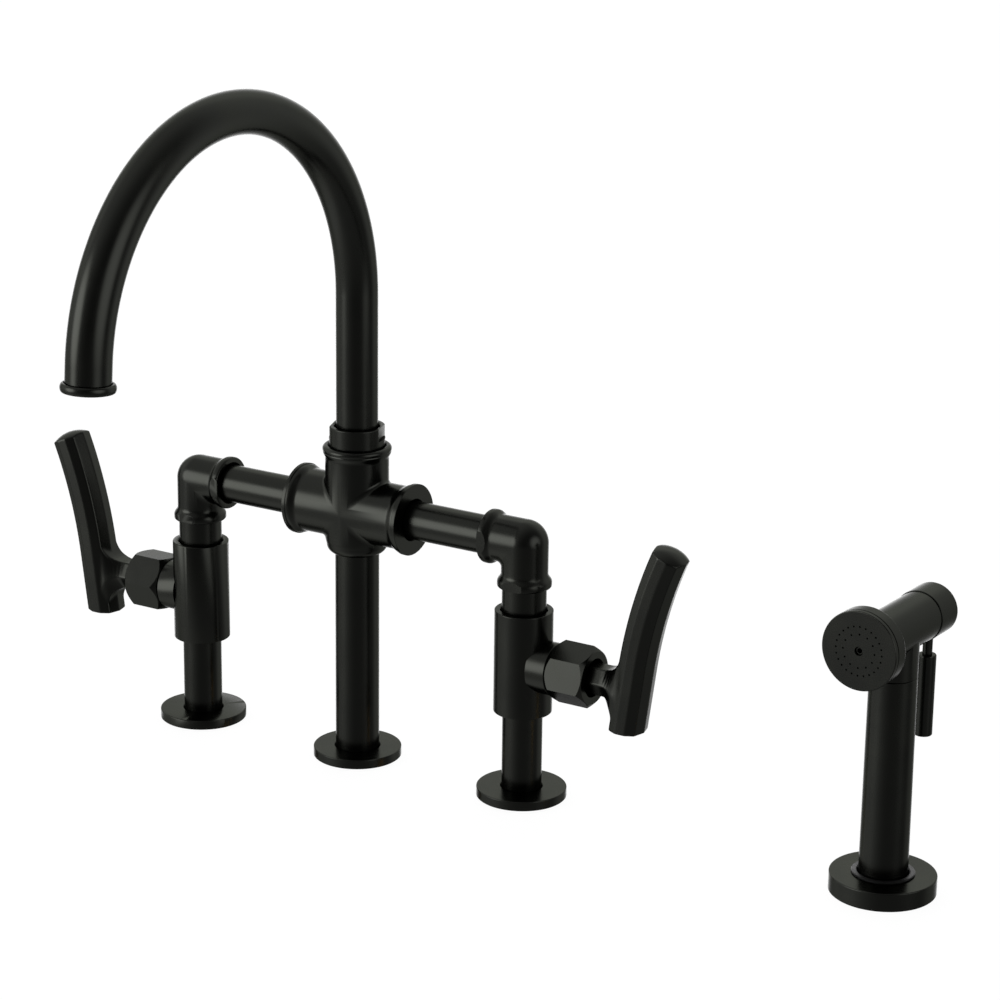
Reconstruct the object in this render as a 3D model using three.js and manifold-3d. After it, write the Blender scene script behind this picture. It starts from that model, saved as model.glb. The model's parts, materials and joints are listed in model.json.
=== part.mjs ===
// Bridge kitchen faucet with a side sprayer, in millimetres, +Z up.
// The origin is where the axis of the centre post meets the worktop. +X runs along the
// bridge to the sprayer, and -Y is the front, where the spout reaches over the basin.
import * as THREE from "three";
import { mergeVertices } from "three/addons/utils/BufferGeometryUtils.js";
import Module from "manifold-3d";

const wasm = await Module();
wasm.setup();

// ---- Driving dimensions -------------------------------------------------------------

// Clearances
const fit = 0.3; // between a piece and the bore or shoulder that it sits in
const cutPast = 1; // how far a cutting tool runs past the face that it cuts

// Places on the worktop
const legSpacing = 101.6; // centre post to each leg
const sprayerSide = 307.5; // centre post to the sprayer, along the bridge
const sprayerForward = 5.7; // sprayer axis in front of the bridge
const sprayerTurn = -2.4; // degrees that the sprayer is swivelled at rest
const worktop = 20; // thickness of the worktop between flange and washer

// Flanges, gaskets and what holds them under the worktop
const flangeRadius = 23.2;
const flangeHeight = 5;
const flangeEdge = 0.5;
const flangeBoreGap = 0.5;
const gasketRadius = 19;
const gasketHeight = 1.3;
const shankRadius = 10.2;
const shankBore = 6;
const shankDrop = 55; // worktop surface to the lower end of the shank
const shankSpigot = 14; // height of the spigot inside the leg
const washerRadius = 21;
const washerHeight = 2;
const lockNutFlats = 32;
const lockNutHeight = 10;

// Legs, valve bodies and risers
const legRadius = 10.3;
const tubeWall = 2.1;
const sleeveRadius = 15;
const sleeveLow = 46.1;
const sleeveHigh = 100.4;
const legSeat = 11.6; // length of leg inside the sleeve
const riserRadius = 11.35;
const riserBore = 7.5;
const riserSeat = 14.1; // length of riser inside the sleeve
const riserSpigotRadius = 9.2;
const riserSpigot = 11.5; // length of the riser's spigot inside the elbow
const sleeveMouthGap = 0.6; // open ring between riser and sleeve
const chamberBore = 8.5;

// Valve outlets, cartridges and bonnet nuts
const hubHeight = 72;
const bossRadius = 13.5;
const bossReach = 20; // leg axis to the bonnet nut
const bossSpigotRadius = 12;
const bossSpigot = 13; // length of boss inside the nut
const cartridgeRadius = 10;
const cartridgeStart = 12; // leg axis to the inner end of the cartridge
const cartridgeCollarRadius = 8.9;
const cartridgeCollar = 2.4;
const bonnetFlats = 27.8;
const bonnetLength = 21.5;
const bonnetMouthRadius = 9.7;
const bonnetChamfer = 1.6;
const stemRadius = 4.5;
const stemStart = 15.4; // leg axis to the inner end of the stem
const stemReach = 52; // leg axis to the outer end of the stem

// Levers
const leverReach = 66.2; // leg axis to the lever's centre line at hub height
const leverForward = 3; // lever's centre line in front of the hub axis
const leverTilt = 7.8; // degrees that the straight tail leans outwards
const leverTail = 21.9; // hub axis to the level lower end of the tail
const leverStraight = 11.7; // hub axis to where the lever starts to curve
const leverBend = 238; // radius of the curve
const leverCurved = 63.6; // length of the curved stretch, up to the rim of the cap
const leverCrown = 3.2; // height of the domed cap
const leverDepth = 9.4; // half depth of the ten-sided section, front to back
const leverWidth = 9.1; // half width of the section
const leverFace = 2.8; // half width of the front face
const leverShoulder = 7.4; // half width at the section's shoulders
const leverShoulderDepth = 7; // half depth at the section's shoulders
const neckStart = 36.3; // leg axis to the inner end of the neck
const neckRadius = 8.3; // corner radius of the six-sided neck
const neckFillet = 10; // radius of the fillets between neck and lever
const neckFilletDepth = 4.6; // half depth of those fillets
const grubRadius = 1.6;
const grubPlace = 46; // leg axis to the grub screw under the neck

// Elbows and bridge tubes
const bridgeHeight = 135.6;
const elbowRadius = 11.95;
const elbowDrop = 22.8; // bridge axis to the elbow's lower face
const elbowSide = 21; // leg axis to the elbow's side face
const elbowCollarRadius = 13.9;
const elbowCollar = 6.6;
const elbowCollarEdge = 1;
const elbowFlats = 12.7; // wrench flats on the collars, from the axis
const bridgeTubeRadius = 9.9;
const bridgeTubeBore = 7.9;
const mouthRadius = 10.9; // dark recess round each end of a bridge tube
const mouthDepth = 3.5;
const bridgeSeat = 11; // length of bridge tube inside the elbow

// Cross body
const crossRadius = 16.5;
const crossReach = 35; // centre to each side face
const crossCollarRadius = 18.6;
const crossCollar = 4.6;
const crossCollarEdge = 0.5;
const crossSeat = 13; // length of bridge tube inside the cross
const socketRadius = 16.6;
const socketRise = 34.6; // bridge axis to the socket's top
const socketFloorRise = 10.4; // bridge axis to the socket's floor
const socketRimRadius = 17.9;
const socketRim = 6;
const crossFootDrop = 23.1; // bridge axis to the lower face of the foot on the centre post
const crossFootRadius = 15.9;
const crossFootEdge = 5;
const postRadius = 11.46;
const postSeat = 8.2; // length of centre post inside the foot
const waterBore = 7.5;
const hosePort = 3.5;

// Spout and its nut
const spoutNutRadius = 14.5;
const spoutNutRise = 10.3; // the socket's top to the nut's top
const spoutNutBore = 11.8;
const spoutNutFlats = 13; // wrench flats, from the axis
const spoutNutFlatHeight = 6.5;
const spoutNutTurn = 19.6; // degrees from +X to the flats' normal
const retainerHeight = 5.6;
const sealHeight = 2.6;
const sealDepth = 1.2;
const spoutRadius = 10.8;
const spoutBore = 8.9;
const spoutRiser = 79.6; // the socket's top to the start of the arch
const spoutBend = 106.7; // radius of the arch, on the centre line
const spoutSweep = 175.6; // degrees of arch
const spoutDrop = 10.8; // straight end after the arch
const lipRadius = 12.95;
const lipBehind = 3; // lip ring above the end of the tube
const lipAhead = 1.4; // lip ring below the end of the tube
const lipBore = 8;
const aeratorRadius = 8.6;
const aeratorHeight = 6;
const aeratorHole = 1.3;
const aeratorPitch = 4.8;

// Sprayer holder
const holderFlangeRadius = 25.9;
const holderFlangeHeight = 9.3;
const holderRadius = 15.2;
const holderBore = 13.8;
const holderDrop = 45;
const guideRimRadius = 15.3;
const guideRim = 0.8;
const guideBore = 12.4;
const guideDrop = 26; // worktop surface to the guide's lower end
const guideLip = 2;
const guideLipBore = 9;
const holderWasherRadius = 27;
const holderNutFlats = 42;
const holderGasketRadius = 22;

// Sprayer
const sprayBottom = 4; // lower end of the handle
const sprayBottomRadius = 11.9;
const sprayNeckRadius = 11.45;
const spraySeam = 109.2; // seam between handle and head
const sprayHandleBore = 8.5;
const couplingRadius = 10.6;
const couplingSpigot = 12;
const couplingBore = 4;
const headAxis = 131.9;
const headRadius = 12.2;
const headFront = 26.9; // sprayer axis to the back of the rim
const headRear = 23; // sprayer axis to the seam of the rear cap
const headSpigot = 11; // head's spigots into its neighbours
const chamberRadius = 8.3;
const rimRadius = 19.2;
const rimDepth = 7.1;
const rimWall = 2;
const facePlate = 2.4;
const faceSpigotRadius = 8;
const faceSpigot = 3.2;
const sprayHoleRadius = 0.5;
const innerHoleCircle = 8.1;
const innerHoleCount = 12;
const outerHoleCircle = 11.8;
const outerHoleCount = 24;
const faceScrewRadius = 1.9;
const faceScrewSunk = 1;
const capRadius = 12.6;
const capLength = 16.4;
const capWall = 2;
const capSpigotRadius = 10.1;
const capSpigot = 3.6;

// Trigger
const triggerBehind = 34.8; // sprayer axis to the trigger's axis
const pivotRise = 5; // head axis to the trigger's pivot
const triggerRadius = 4.5;
const triggerTop = 109.7;
const triggerBottom = 68.7;
const triggerNeckRadius = 2.4;
const triggerSwing = 14; // degrees
const eyeRadius = 2.6;
const eyeHalfWidth = 3.4;
const pinRadius = 1.1;
const plungerRadius = 2.5;
const plungerTip = 1.2;
const plungerTaper = 3;
const plungerLength = 26;
const pistonLength = 6;

// Roundness of the solids
const round = 20;
const roundSmall = 12;

// ---- Finishes -----------------------------------------------------------------------

const blackMetal = { color: 0x1d1c19, roughness: 0.34, metalness: 0.9 };
const brass = { color: 0xb08d4a, roughness: 0.4, metalness: 1 };
const steel = { color: 0x8f9194, roughness: 0.35, metalness: 1 };
const rubber = { color: 0x202020, roughness: 0.9, metalness: 0 };
const plastic = { color: 0x1b1b1b, roughness: 0.6, metalness: 0 };

// ---- Geometry helpers ---------------------------------------------------------------

const radians = THREE.MathUtils.degToRad;

// A welded, indexed copy that keeps positions only and drops triangles without area.
function welded(geometry) {
  const bare = geometry.clone();
  bare.deleteAttribute("normal");
  bare.deleteAttribute("uv");
  const merged = mergeVertices(bare, 1e-4);
  const corners = merged.index.array;
  const kept = [];
  for (let i = 0; i < corners.length; i += 3) {
    const [a, b, c] = corners.slice(i, i + 3);
    if (a !== b && b !== c && c !== a) kept.push(a, b, c);
  }
  merged.setIndex(kept);
  return merged;
}

// Six times the signed volume of an indexed, closed geometry.
function signedVolume(geometry) {
  const place = geometry.attributes.position;
  const corners = geometry.index.array;
  const [a, b, c] = [new THREE.Vector3(), new THREE.Vector3(), new THREE.Vector3()];
  let sum = 0;
  for (let i = 0; i < corners.length; i += 3) {
    a.fromBufferAttribute(place, corners[i]);
    b.fromBufferAttribute(place, corners[i + 1]);
    c.fromBufferAttribute(place, corners[i + 2]);
    sum += a.dot(b.cross(c));
  }
  return sum;
}

// The same body with its faces pointing out, whichever way its outline was listed.
function facingOut(geometry) {
  const body = welded(geometry);
  if (signedVolume(body) < 0) {
    const corners = body.index.array;
    for (let i = 0; i < corners.length; i += 3) {
      [corners[i + 1], corners[i + 2]] = [corners[i + 2], corners[i + 1]];
    }
  }
  return body;
}

function toSolid(geometry) {
  const body = facingOut(geometry);
  return new wasm.Manifold(
    new wasm.Mesh({
      numProp: 3,
      vertProperties: Float32Array.from(body.attributes.position.array),
      triVerts: Uint32Array.from(body.index.array),
    }),
  );
}

function toGeometry(solid) {
  const mesh = solid.getMesh();
  const geometry = new THREE.BufferGeometry();
  geometry.setAttribute("position", new THREE.BufferAttribute(mesh.vertProperties, 3));
  geometry.setIndex(new THREE.BufferAttribute(mesh.triVerts, 1));
  return geometry;
}

function join(...parts) {
  return toGeometry(parts.map(toSolid).reduce((whole, part) => whole.add(part)));
}

function cut(body, ...tools) {
  return toGeometry(tools.map(toSolid).reduce((rest, tool) => rest.subtract(tool), toSolid(body)));
}

function common(...parts) {
  return toGeometry(parts.map(toSolid).reduce((shared, part) => shared.intersect(part)));
}

// A body of revolution about Z from an outline of [radius, height] points.
function turned(outline, sides = round) {
  const points = outline.map(([radius, height]) => new THREE.Vector2(radius, height));
  return facingOut(new THREE.LatheGeometry(points, sides).rotateX(Math.PI / 2));
}

// A plain round bar about Z with a small chamfer at both ends.
function bar(radius, low, high, edge = 0, sides = round) {
  return turned(
    [
      [0, low],
      [radius - edge, low],
      [radius, low + edge],
      [radius, high - edge],
      [radius - edge, high],
      [0, high],
    ],
    sides,
  );
}

// A straight tube about Z with a small chamfer outside at both ends.
function tube(radius, bore, low, high, edge = 0, sides = round) {
  return turned(
    [
      [bore, low],
      [radius - edge, low],
      [radius, low + edge],
      [radius, high - edge],
      [radius - edge, high],
      [bore, high],
      [bore, low],
    ],
    sides,
  );
}

// Points along a circular arc in an outline, angles in degrees from the +radius direction.
function arc(centreRadius, centreHeight, radius, from, to, steps) {
  return Array.from({ length: steps + 1 }, (_, i) => {
    const angle = radians(from + ((to - from) * i) / steps);
    return [centreRadius + radius * Math.cos(angle), centreHeight + radius * Math.sin(angle)];
  });
}

// Outline of a collar that swells smoothly out of a barrel and ends in a flat face.
function collarOutline(barrel, belly, length, face, edge) {
  const swell = length - 2.2 * edge - 1;
  const steps = 4;
  const flare = Array.from({ length: steps + 1 }, (_, i) => {
    const share = i / steps;
    const rise = (1 - Math.cos(Math.PI * share)) / 2;
    return [barrel + (belly - barrel) * rise, face - length + swell * share];
  });
  return [...flare, ...arc(belly - edge, face - edge, edge, 0, 90, 2)];
}

// Turn a body made about Z so that its height runs along +X or along -Y.
const alongX = (geometry) => geometry.clone().rotateY(Math.PI / 2);
const alongFront = (geometry) => geometry.clone().rotateX(Math.PI / 2);
const moved = (geometry, x, y, z) => geometry.clone().translate(x, y, z);

function box(lowX, highX, lowY, highY, lowZ, highZ) {
  return new THREE.BoxGeometry(highX - lowX, highY - lowY, highZ - lowZ).translate(
    (lowX + highX) / 2,
    (lowY + highY) / 2,
    (lowZ + highZ) / 2,
  );
}

// A regular prism about Z; the first corner lies at the given turn from +X.
function prism(corners, cornerRadius, low, high, turn = 0) {
  const outline = Array.from({ length: corners }, (_, i) => {
    const angle = radians(turn) + (2 * Math.PI * i) / corners;
    return new THREE.Vector2(cornerRadius * Math.cos(angle), cornerRadius * Math.sin(angle));
  });
  const options = { depth: high - low, bevelEnabled: false };
  return new THREE.ExtrudeGeometry(new THREE.Shape(outline), options).translate(0, 0, low);
}

// A hexagon nut body about Z whose corners are chamfered at both ends.
function hexagon(flats, low, high, chamfer, turn = 0) {
  const corner = flats / Math.sqrt(3);
  const drop = (corner - flats / 2) * Math.tan(radians(35)) + chamfer / 4;
  const rounding = turned([
    [0, low],
    [flats / 2 - chamfer / 4, low],
    [corner, low + drop],
    [corner, high - drop],
    [flats / 2 - chamfer / 4, high],
    [0, high],
  ]);
  return common(prism(6, corner, low, high, turn), rounding);
}

// The mirror image across the plane x = 0.
const mirrored = (geometry) => facingOut(geometry.clone().scale(-1, 1, 1));

// ---- The assembly -------------------------------------------------------------------

const faucet = new THREE.Group();

function add(name, geometry, finish) {
  const body = facingOut(geometry);
  body.computeVertexNormals();
  const mesh = new THREE.Mesh(body, new THREE.MeshStandardMaterial(finish));
  mesh.name = name;
  faucet.add(mesh);
}

// Legs are made on the right side and mirrored for the left.
const sides = [
  { name: "right", place: (geometry) => geometry, nutTurn: -10.3 },
  { name: "left", place: mirrored, nutTurn: -34.6 },
];

// ---- Mounting under each post ---------------------------------------------------------

function flange(postAt) {
  const bore = postAt + flangeBoreGap;
  const recess = gasketRadius + fit;
  return turned([
    [bore, gasketHeight + fit],
    [bore, flangeHeight],
    [flangeRadius - flangeEdge, flangeHeight],
    [flangeRadius, flangeHeight - flangeEdge],
    [flangeRadius, 0],
    [recess, 0],
    [recess, gasketHeight + fit],
    [bore, gasketHeight + fit],
  ]);
}

function shank(postBore) {
  const spigot = postBore - fit;
  return turned([
    [shankBore, -shankDrop],
    [shankRadius - 1, -shankDrop],
    [shankRadius, 1 - shankDrop],
    [shankRadius, -fit],
    [spigot, -fit],
    [spigot, shankSpigot],
    [shankBore, shankSpigot],
    [shankBore, -shankDrop],
  ]);
}

function lockNut(flats, bore, top) {
  const body = hexagon(flats, top - lockNutHeight, top, 1.2);
  return cut(body, bar(bore, top - lockNutHeight - cutPast, top + cutPast));
}

function addMounting(name, postAt, place) {
  const nutTop = -worktop - washerHeight - fit;
  const washer = tube(washerRadius, shankRadius + fit, -worktop - washerHeight, -worktop);
  const gasket = tube(gasketRadius, postAt + flangeBoreGap, 0, gasketHeight);
  add(`${name}_flange`, place(flange(postAt)), blackMetal);
  add(`${name}_gasket`, place(gasket), rubber);
  add(`${name}_shank`, place(shank(postAt - tubeWall)), brass);
  add(`${name}_washer`, place(washer), steel);
  add(`${name}_lock_nut`, place(lockNut(lockNutFlats, shankRadius + fit, nutTop)), brass);
}

// ---- Legs, valves and elbows ----------------------------------------------------------

const chamberLow = sleeveLow + legSeat + fit;
const chamberHigh = sleeveHigh - riserSeat - fit;
const elbowFace = bridgeHeight - elbowDrop;

function legTube() {
  return tube(legRadius, legRadius - tubeWall, 0, sleeveLow + legSeat);
}

function valveBody() {
  const boss = alongX(bar(bossRadius, 0, bossReach, 0.4));
  const bossEnd = bossReach + bossSpigot;
  const spigot = alongX(bar(bossSpigotRadius, 0, bossEnd, 0.5));
  const outside = join(
    bar(sleeveRadius, sleeveLow, sleeveHigh, 0.5),
    moved(boss, 0, 0, hubHeight),
    moved(spigot, 0, 0, hubHeight),
  );
  return cut(
    outside,
    bar(legRadius + fit, sleeveLow - cutPast, chamberLow),
    bar(chamberBore, chamberLow - cutPast, chamberHigh + cutPast),
    bar(riserRadius + sleeveMouthGap, chamberHigh, sleeveHigh + cutPast),
    moved(alongX(bar(cartridgeRadius + fit, 0, bossEnd + cutPast)), 0, 0, hubHeight),
  );
}

function riser() {
  const low = sleeveHigh - riserSeat;
  const shoulder = elbowFace - fit;
  return turned([
    [riserBore, low],
    [riserRadius, low],
    [riserRadius, shoulder],
    [riserSpigotRadius, shoulder],
    [riserSpigotRadius, elbowFace + riserSpigot],
    [riserBore, elbowFace + riserSpigot],
    [riserBore, low],
  ]);
}

// One arm of the elbow, along +Z from the corner, with two wrench flats across Y.
function elbowArm(reach) {
  const collar = collarOutline(elbowRadius, elbowCollarRadius, elbowCollar, reach, elbowCollarEdge);
  const arm = turned([[0, 0], [elbowRadius, 0], ...collar, [0, reach]]);
  const wide = elbowCollarRadius + cutPast;
  const low = reach - elbowCollar;
  const high = reach + cutPast;
  return cut(
    arm,
    box(-wide, wide, elbowFlats, wide, low, high),
    box(-wide, wide, -wide, -elbowFlats, low, high),
  );
}

function elbow() {
  const down = (geometry) => geometry.clone().rotateX(Math.PI);
  const inward = (geometry) => geometry.clone().rotateY(-Math.PI / 2);
  const corner = (radius) => new THREE.SphereGeometry(radius, round, round / 2).rotateX(Math.PI / 2);
  const outside = join(down(elbowArm(elbowDrop)), inward(elbowArm(elbowSide)), corner(elbowRadius));
  const inside = join(
    down(bar(riserSpigotRadius + fit, elbowDrop - riserSpigot - fit, elbowDrop + cutPast)),
    down(bar(riserBore, 0, elbowDrop)),
    corner(riserBore),
    inward(bar(riserBore, 0, elbowSide)),
    inward(bar(bridgeTubeRadius + fit, elbowSide - bridgeSeat - fit, elbowSide)),
    inward(bar(mouthRadius, elbowSide - mouthDepth, elbowSide + cutPast)),
  );
  return moved(cut(outside, inside), 0, 0, bridgeHeight);
}

function bridgeTube() {
  const start = crossReach - crossSeat;
  const end = legSpacing - elbowSide + bridgeSeat;
  return moved(alongX(tube(bridgeTubeRadius, bridgeTubeBore, start, end)), 0, 0, bridgeHeight);
}

// ---- Handles ----------------------------------------------------------------------------

function cartridge() {
  const collarEnd = bossReach + bossSpigot + cartridgeCollar;
  const body = turned([
    [0, cartridgeStart],
    [cartridgeRadius, cartridgeStart],
    [cartridgeRadius, bossReach + bossSpigot],
    [cartridgeCollarRadius, bossReach + bossSpigot],
    [cartridgeCollarRadius, collarEnd],
    [0, collarEnd],
  ]);
  const stemHole = bar(stemRadius + fit, stemStart - fit, collarEnd + cutPast);
  return moved(alongX(cut(body, stemHole)), 0, 0, hubHeight);
}

function bonnetNut(turn) {
  const start = bossReach + fit;
  const end = start + bonnetLength;
  const seat = bossReach + bossSpigot + fit;
  const nut = cut(
    hexagon(bonnetFlats, start, end, bonnetChamfer, 180 + turn),
    bar(bossSpigotRadius + fit, start - cutPast, seat),
    bar(bonnetMouthRadius, seat - cutPast, end + cutPast),
  );
  return moved(alongX(nut), 0, 0, hubHeight);
}

function stem() {
  return moved(alongX(bar(stemRadius, stemStart, stemReach, 0.4, roundSmall)), 0, 0, hubHeight);
}

// Centre line of the lever: straight up past the hub, then curving outwards.
class LeverLine extends THREE.Curve {
  getPoint(share, target = new THREE.Vector3()) {
    const tail = leverTail + leverWidth;
    const straight = tail + leverStraight;
    const along = share * (straight + leverCurved + leverCrown);
    const tilt = radians(leverTilt);
    const onStraight = Math.min(along, straight);
    const end = tilt + (along - onStraight) / leverBend;
    const bentOut = leverBend * (Math.cos(tilt) - Math.cos(end));
    const bentUp = leverBend * (Math.sin(end) - Math.sin(tilt));
    return target.set(
      leverReach + (onStraight - tail) * Math.sin(tilt) + bentOut,
      -leverForward,
      hubHeight + (onStraight - tail) * Math.cos(tilt) + bentUp,
    );
  }
}

// The ten-sided lever bar, with a domed cap and a level foot.
function leverBar() {
  const quarter = [
    [0, leverWidth],
    [leverShoulderDepth, leverShoulder],
    [leverDepth, leverFace],
  ];
  const inward = quarter.slice(1).reverse();
  const half = [...quarter, ...inward.map(([depth, width]) => [depth, -width])];
  const back = half.map(([depth, width]) => [-depth, -width]);
  const corners = [...half, ...back].map(([depth, width]) => new THREE.Vector2(depth, width));
  const options = { steps: 22, extrudePath: new LeverLine(), bevelEnabled: false };
  const swept = new THREE.ExtrudeGeometry(new THREE.Shape(corners), options);

  const whole = leverTail + leverWidth + leverStraight + leverCurved + leverCrown;
  const rim = new LeverLine().getPoint(1 - leverCrown / whole);
  const domeRadius = (leverDepth ** 2 + leverCrown ** 2) / (2 * leverCrown);
  const rimAngle = THREE.MathUtils.radToDeg(Math.acos(leverDepth / domeRadius));
  const wide = 3 * leverDepth;
  const envelope = turned([
    [0, -whole],
    [wide, -whole],
    [wide, 0],
    [leverDepth, 0],
    ...arc(0, leverCrown - domeRadius, domeRadius, rimAngle, 90, 5),
  ]);
  const heading = radians(leverTilt) + leverCurved / leverBend;
  const underCap = envelope.rotateY(heading).translate(rim.x, rim.y, rim.z);
  const foot = hubHeight - leverTail;
  const reach = leverReach + whole;
  return common(swept, underCap, box(0, reach, -wide, wide, foot, foot + 2 * whole));
}

// The web between neck and lever: a concave fillet above and below the neck.
function neckFillets() {
  const half = neckRadius * Math.cos(Math.PI / 6);
  const top = half + neckFillet;
  const halves = [1, -1].map((up) => {
    const wall = leverReach - leverShoulder + up * top * Math.tan(radians(leverTilt));
    const outline = new THREE.Shape();
    outline.moveTo(leverReach, 0);
    outline.lineTo(wall - neckFillet, 0);
    outline.lineTo(wall - neckFillet, up * half);
    outline.absarc(wall - neckFillet, up * top, neckFillet, (-up * Math.PI) / 2, 0, up < 0);
    outline.lineTo(leverReach, up * top);
    outline.closePath();
    const options = { depth: 2 * neckFilletDepth, bevelEnabled: false, curveSegments: 6 };
    return new THREE.ExtrudeGeometry(outline, options).rotateX(Math.PI / 2);
  });
  return moved(join(...halves), 0, neckFilletDepth - leverForward / 2, hubHeight);
}

function lever() {
  const neckEnd = leverReach - leverFace;
  const neck = moved(alongX(prism(6, neckRadius, neckStart, neckEnd, 90)), 0, 0, hubHeight);
  const stemBore = stemRadius + fit;
  const stemHole = alongX(bar(stemBore, neckStart - cutPast, stemReach + fit, 0, roundSmall));
  const grubHole = bar(grubRadius + fit, -neckRadius - cutPast, 0, 0, roundSmall);
  return cut(
    join(leverBar(), neck, neckFillets()),
    moved(stemHole, 0, 0, hubHeight),
    moved(grubHole, grubPlace, 0, hubHeight),
  );
}

function grubScrew() {
  const low = hubHeight - neckRadius * Math.cos(Math.PI / 6) + 0.4;
  const high = hubHeight - stemRadius - fit;
  return moved(bar(grubRadius, low, high, 0.2, roundSmall), grubPlace, 0, 0);
}

for (const side of sides) {
  const onLeg = (geometry) => side.place(moved(geometry, legSpacing, 0, 0));
  addMounting(side.name, legRadius, onLeg);
  add(`${side.name}_leg_tube`, onLeg(legTube()), blackMetal);
  add(`${side.name}_valve_body`, onLeg(valveBody()), blackMetal);
  add(`${side.name}_riser`, onLeg(riser()), blackMetal);
  add(`${side.name}_elbow`, onLeg(elbow()), blackMetal);
  add(`${side.name}_bridge_tube`, side.place(bridgeTube()), blackMetal);
  add(`${side.name}_cartridge`, onLeg(cartridge()), brass);
  add(`${side.name}_bonnet_nut`, onLeg(bonnetNut(side.nutTurn)), blackMetal);
  add(`${side.name}_stem`, onLeg(stem()), brass);
  add(`${side.name}_lever`, onLeg(lever()), blackMetal);
  add(`${side.name}_grub_screw`, onLeg(grubScrew()), steel);
}

// ---- Centre post, cross body and spout ---------------------------------------------------

const crossFoot = bridgeHeight - crossFootDrop;
const socketTop = bridgeHeight + socketRise;
const socketFloor = bridgeHeight + socketFloorRise;
const spoutNutTop = socketTop + spoutNutRise;
const spoutStraight = socketTop + spoutRiser;

function crossBody() {
  const half = collarOutline(crossRadius, crossCollarRadius, crossCollar, crossReach, crossCollarEdge);
  const mirrorHalf = half.map(([radius, height]) => [radius, -height]).reverse();
  const barrel = alongX(turned([[0, -crossReach], ...mirrorHalf, ...half, [0, crossReach]]));
  const rim = collarOutline(socketRadius, socketRimRadius, socketRim, socketTop, 1.3);
  const socket = turned([[0, bridgeHeight], [socketRadius, bridgeHeight], ...rim, [0, socketTop]]);
  const foot = turned([
    [0, crossFoot],
    ...arc(crossFootRadius - crossFootEdge, crossFoot + crossFootEdge, crossFootEdge, -90, 0, 4),
    [crossFootRadius, bridgeHeight],
    [0, bridgeHeight],
  ]);
  const outside = join(moved(barrel, 0, 0, bridgeHeight), socket, foot);
  const acrossTools = [1, -1].flatMap((way) => [
    bar(bridgeTubeRadius + fit, crossReach - crossSeat - fit, crossReach).scale(1, 1, way),
    bar(mouthRadius, crossReach - mouthDepth, crossReach + cutPast).scale(1, 1, way),
  ]);
  const across = [bar(waterBore, -crossReach, crossReach), ...acrossTools];
  return cut(
    outside,
    ...across.map((tool) => moved(alongX(tool), 0, 0, bridgeHeight)),
    bar(spoutNutRadius + 1.2 * fit, socketFloor, socketTop + cutPast),
    bar(waterBore, bridgeHeight, socketFloor + cutPast),
    bar(hosePort, crossFoot, bridgeHeight),
    bar(postRadius + fit, crossFoot - cutPast, crossFoot + postSeat + fit),
  );
}

const retainerLow = socketFloor + fit;
const spoutNutLow = retainerLow + retainerHeight + fit;
const sealLow = spoutNutLow + 3;

function spoutNut() {
  const nut = cut(
    bar(spoutNutRadius, spoutNutLow, spoutNutTop, 0.4),
    bar(spoutNutBore, spoutNutLow - cutPast, spoutNutTop + cutPast),
    bar(spoutNutBore + sealDepth, sealLow, sealLow + sealHeight),
  );
  const wide = spoutNutRadius + cutPast;
  const low = spoutNutTop - spoutNutFlatHeight;
  const high = spoutNutTop + cutPast;
  const flats = [
    box(spoutNutFlats, wide, -wide, wide, low, high),
    box(-wide, -spoutNutFlats, -wide, wide, low, high),
  ];
  return cut(nut, ...flats.map((flat) => flat.rotateZ(radians(spoutNutTurn))));
}

// A ring round the foot of the spout tube.
const spoutRing = (radius, low, high) => tube(radius, spoutRadius + fit, low, high);

// Centre line of the spout: riser, arch and a short straight end, all in the plane x = 0.
class SpoutLine extends THREE.Curve {
  getPoint(share, target = new THREE.Vector3()) {
    const rise = spoutStraight - retainerLow;
    const bend = radians(spoutSweep) * spoutBend;
    const along = share * (rise + bend + spoutDrop);
    const turn = Math.min(Math.max(along - rise, 0), bend) / spoutBend;
    const ahead = Math.max(along - rise - bend, 0);
    const forward = spoutBend * (1 - Math.cos(turn)) + ahead * Math.sin(turn);
    const height = Math.min(along, rise) + spoutBend * Math.sin(turn) + ahead * Math.cos(turn);
    return target.set(0, -forward, retainerLow + height);
  }
}

function spoutTube() {
  const section = new THREE.Shape().absarc(0, 0, spoutRadius, 0, 2 * Math.PI);
  section.holes.push(new THREE.Path().absarc(0, 0, spoutBore, 0, 2 * Math.PI, true));
  const options = { steps: 40, curveSegments: 10, extrudePath: new SpoutLine(), bevelEnabled: false };
  return new THREE.ExtrudeGeometry(section, options);
}

// Place a piece made about Z, measured from the end of the spout along the water's way.
function atOutlet(geometry) {
  const end = new SpoutLine().getPoint(1);
  return geometry
    .clone()
    .rotateX(radians(spoutSweep))
    .translate(end.x, end.y, end.z);
}

function spoutLip() {
  const inner = spoutRadius + fit;
  const middle = (lipAhead - lipBehind) / 2;
  const halfHeight = (lipAhead + lipBehind) / 2;
  const steps = 8;
  const roll = Array.from({ length: steps + 1 }, (_, i) => {
    const angle = Math.PI * (i / steps - 0.5);
    return [inner + (lipRadius - inner) * Math.cos(angle), middle + halfHeight * Math.sin(angle)];
  });
  return turned([...roll, [lipBore, lipAhead], [lipBore, fit], [inner, fit], [inner, -lipBehind]]);
}

function aerator() {
  const disc = new THREE.Shape().absarc(0, 0, aeratorRadius, 0, 2 * Math.PI);
  const hole = (x, y) => new THREE.Path().absarc(x, y, aeratorHole, 0, 2 * Math.PI, true);
  disc.holes.push(hole(0, 0));
  for (let i = 0; i < 6; i += 1) {
    const angle = (Math.PI * i) / 3;
    disc.holes.push(hole(aeratorPitch * Math.cos(angle), aeratorPitch * Math.sin(angle)));
  }
  const options = { depth: aeratorHeight, bevelEnabled: false, curveSegments: 6 };
  return new THREE.ExtrudeGeometry(disc, options).translate(0, 0, -aeratorHeight);
}

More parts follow.
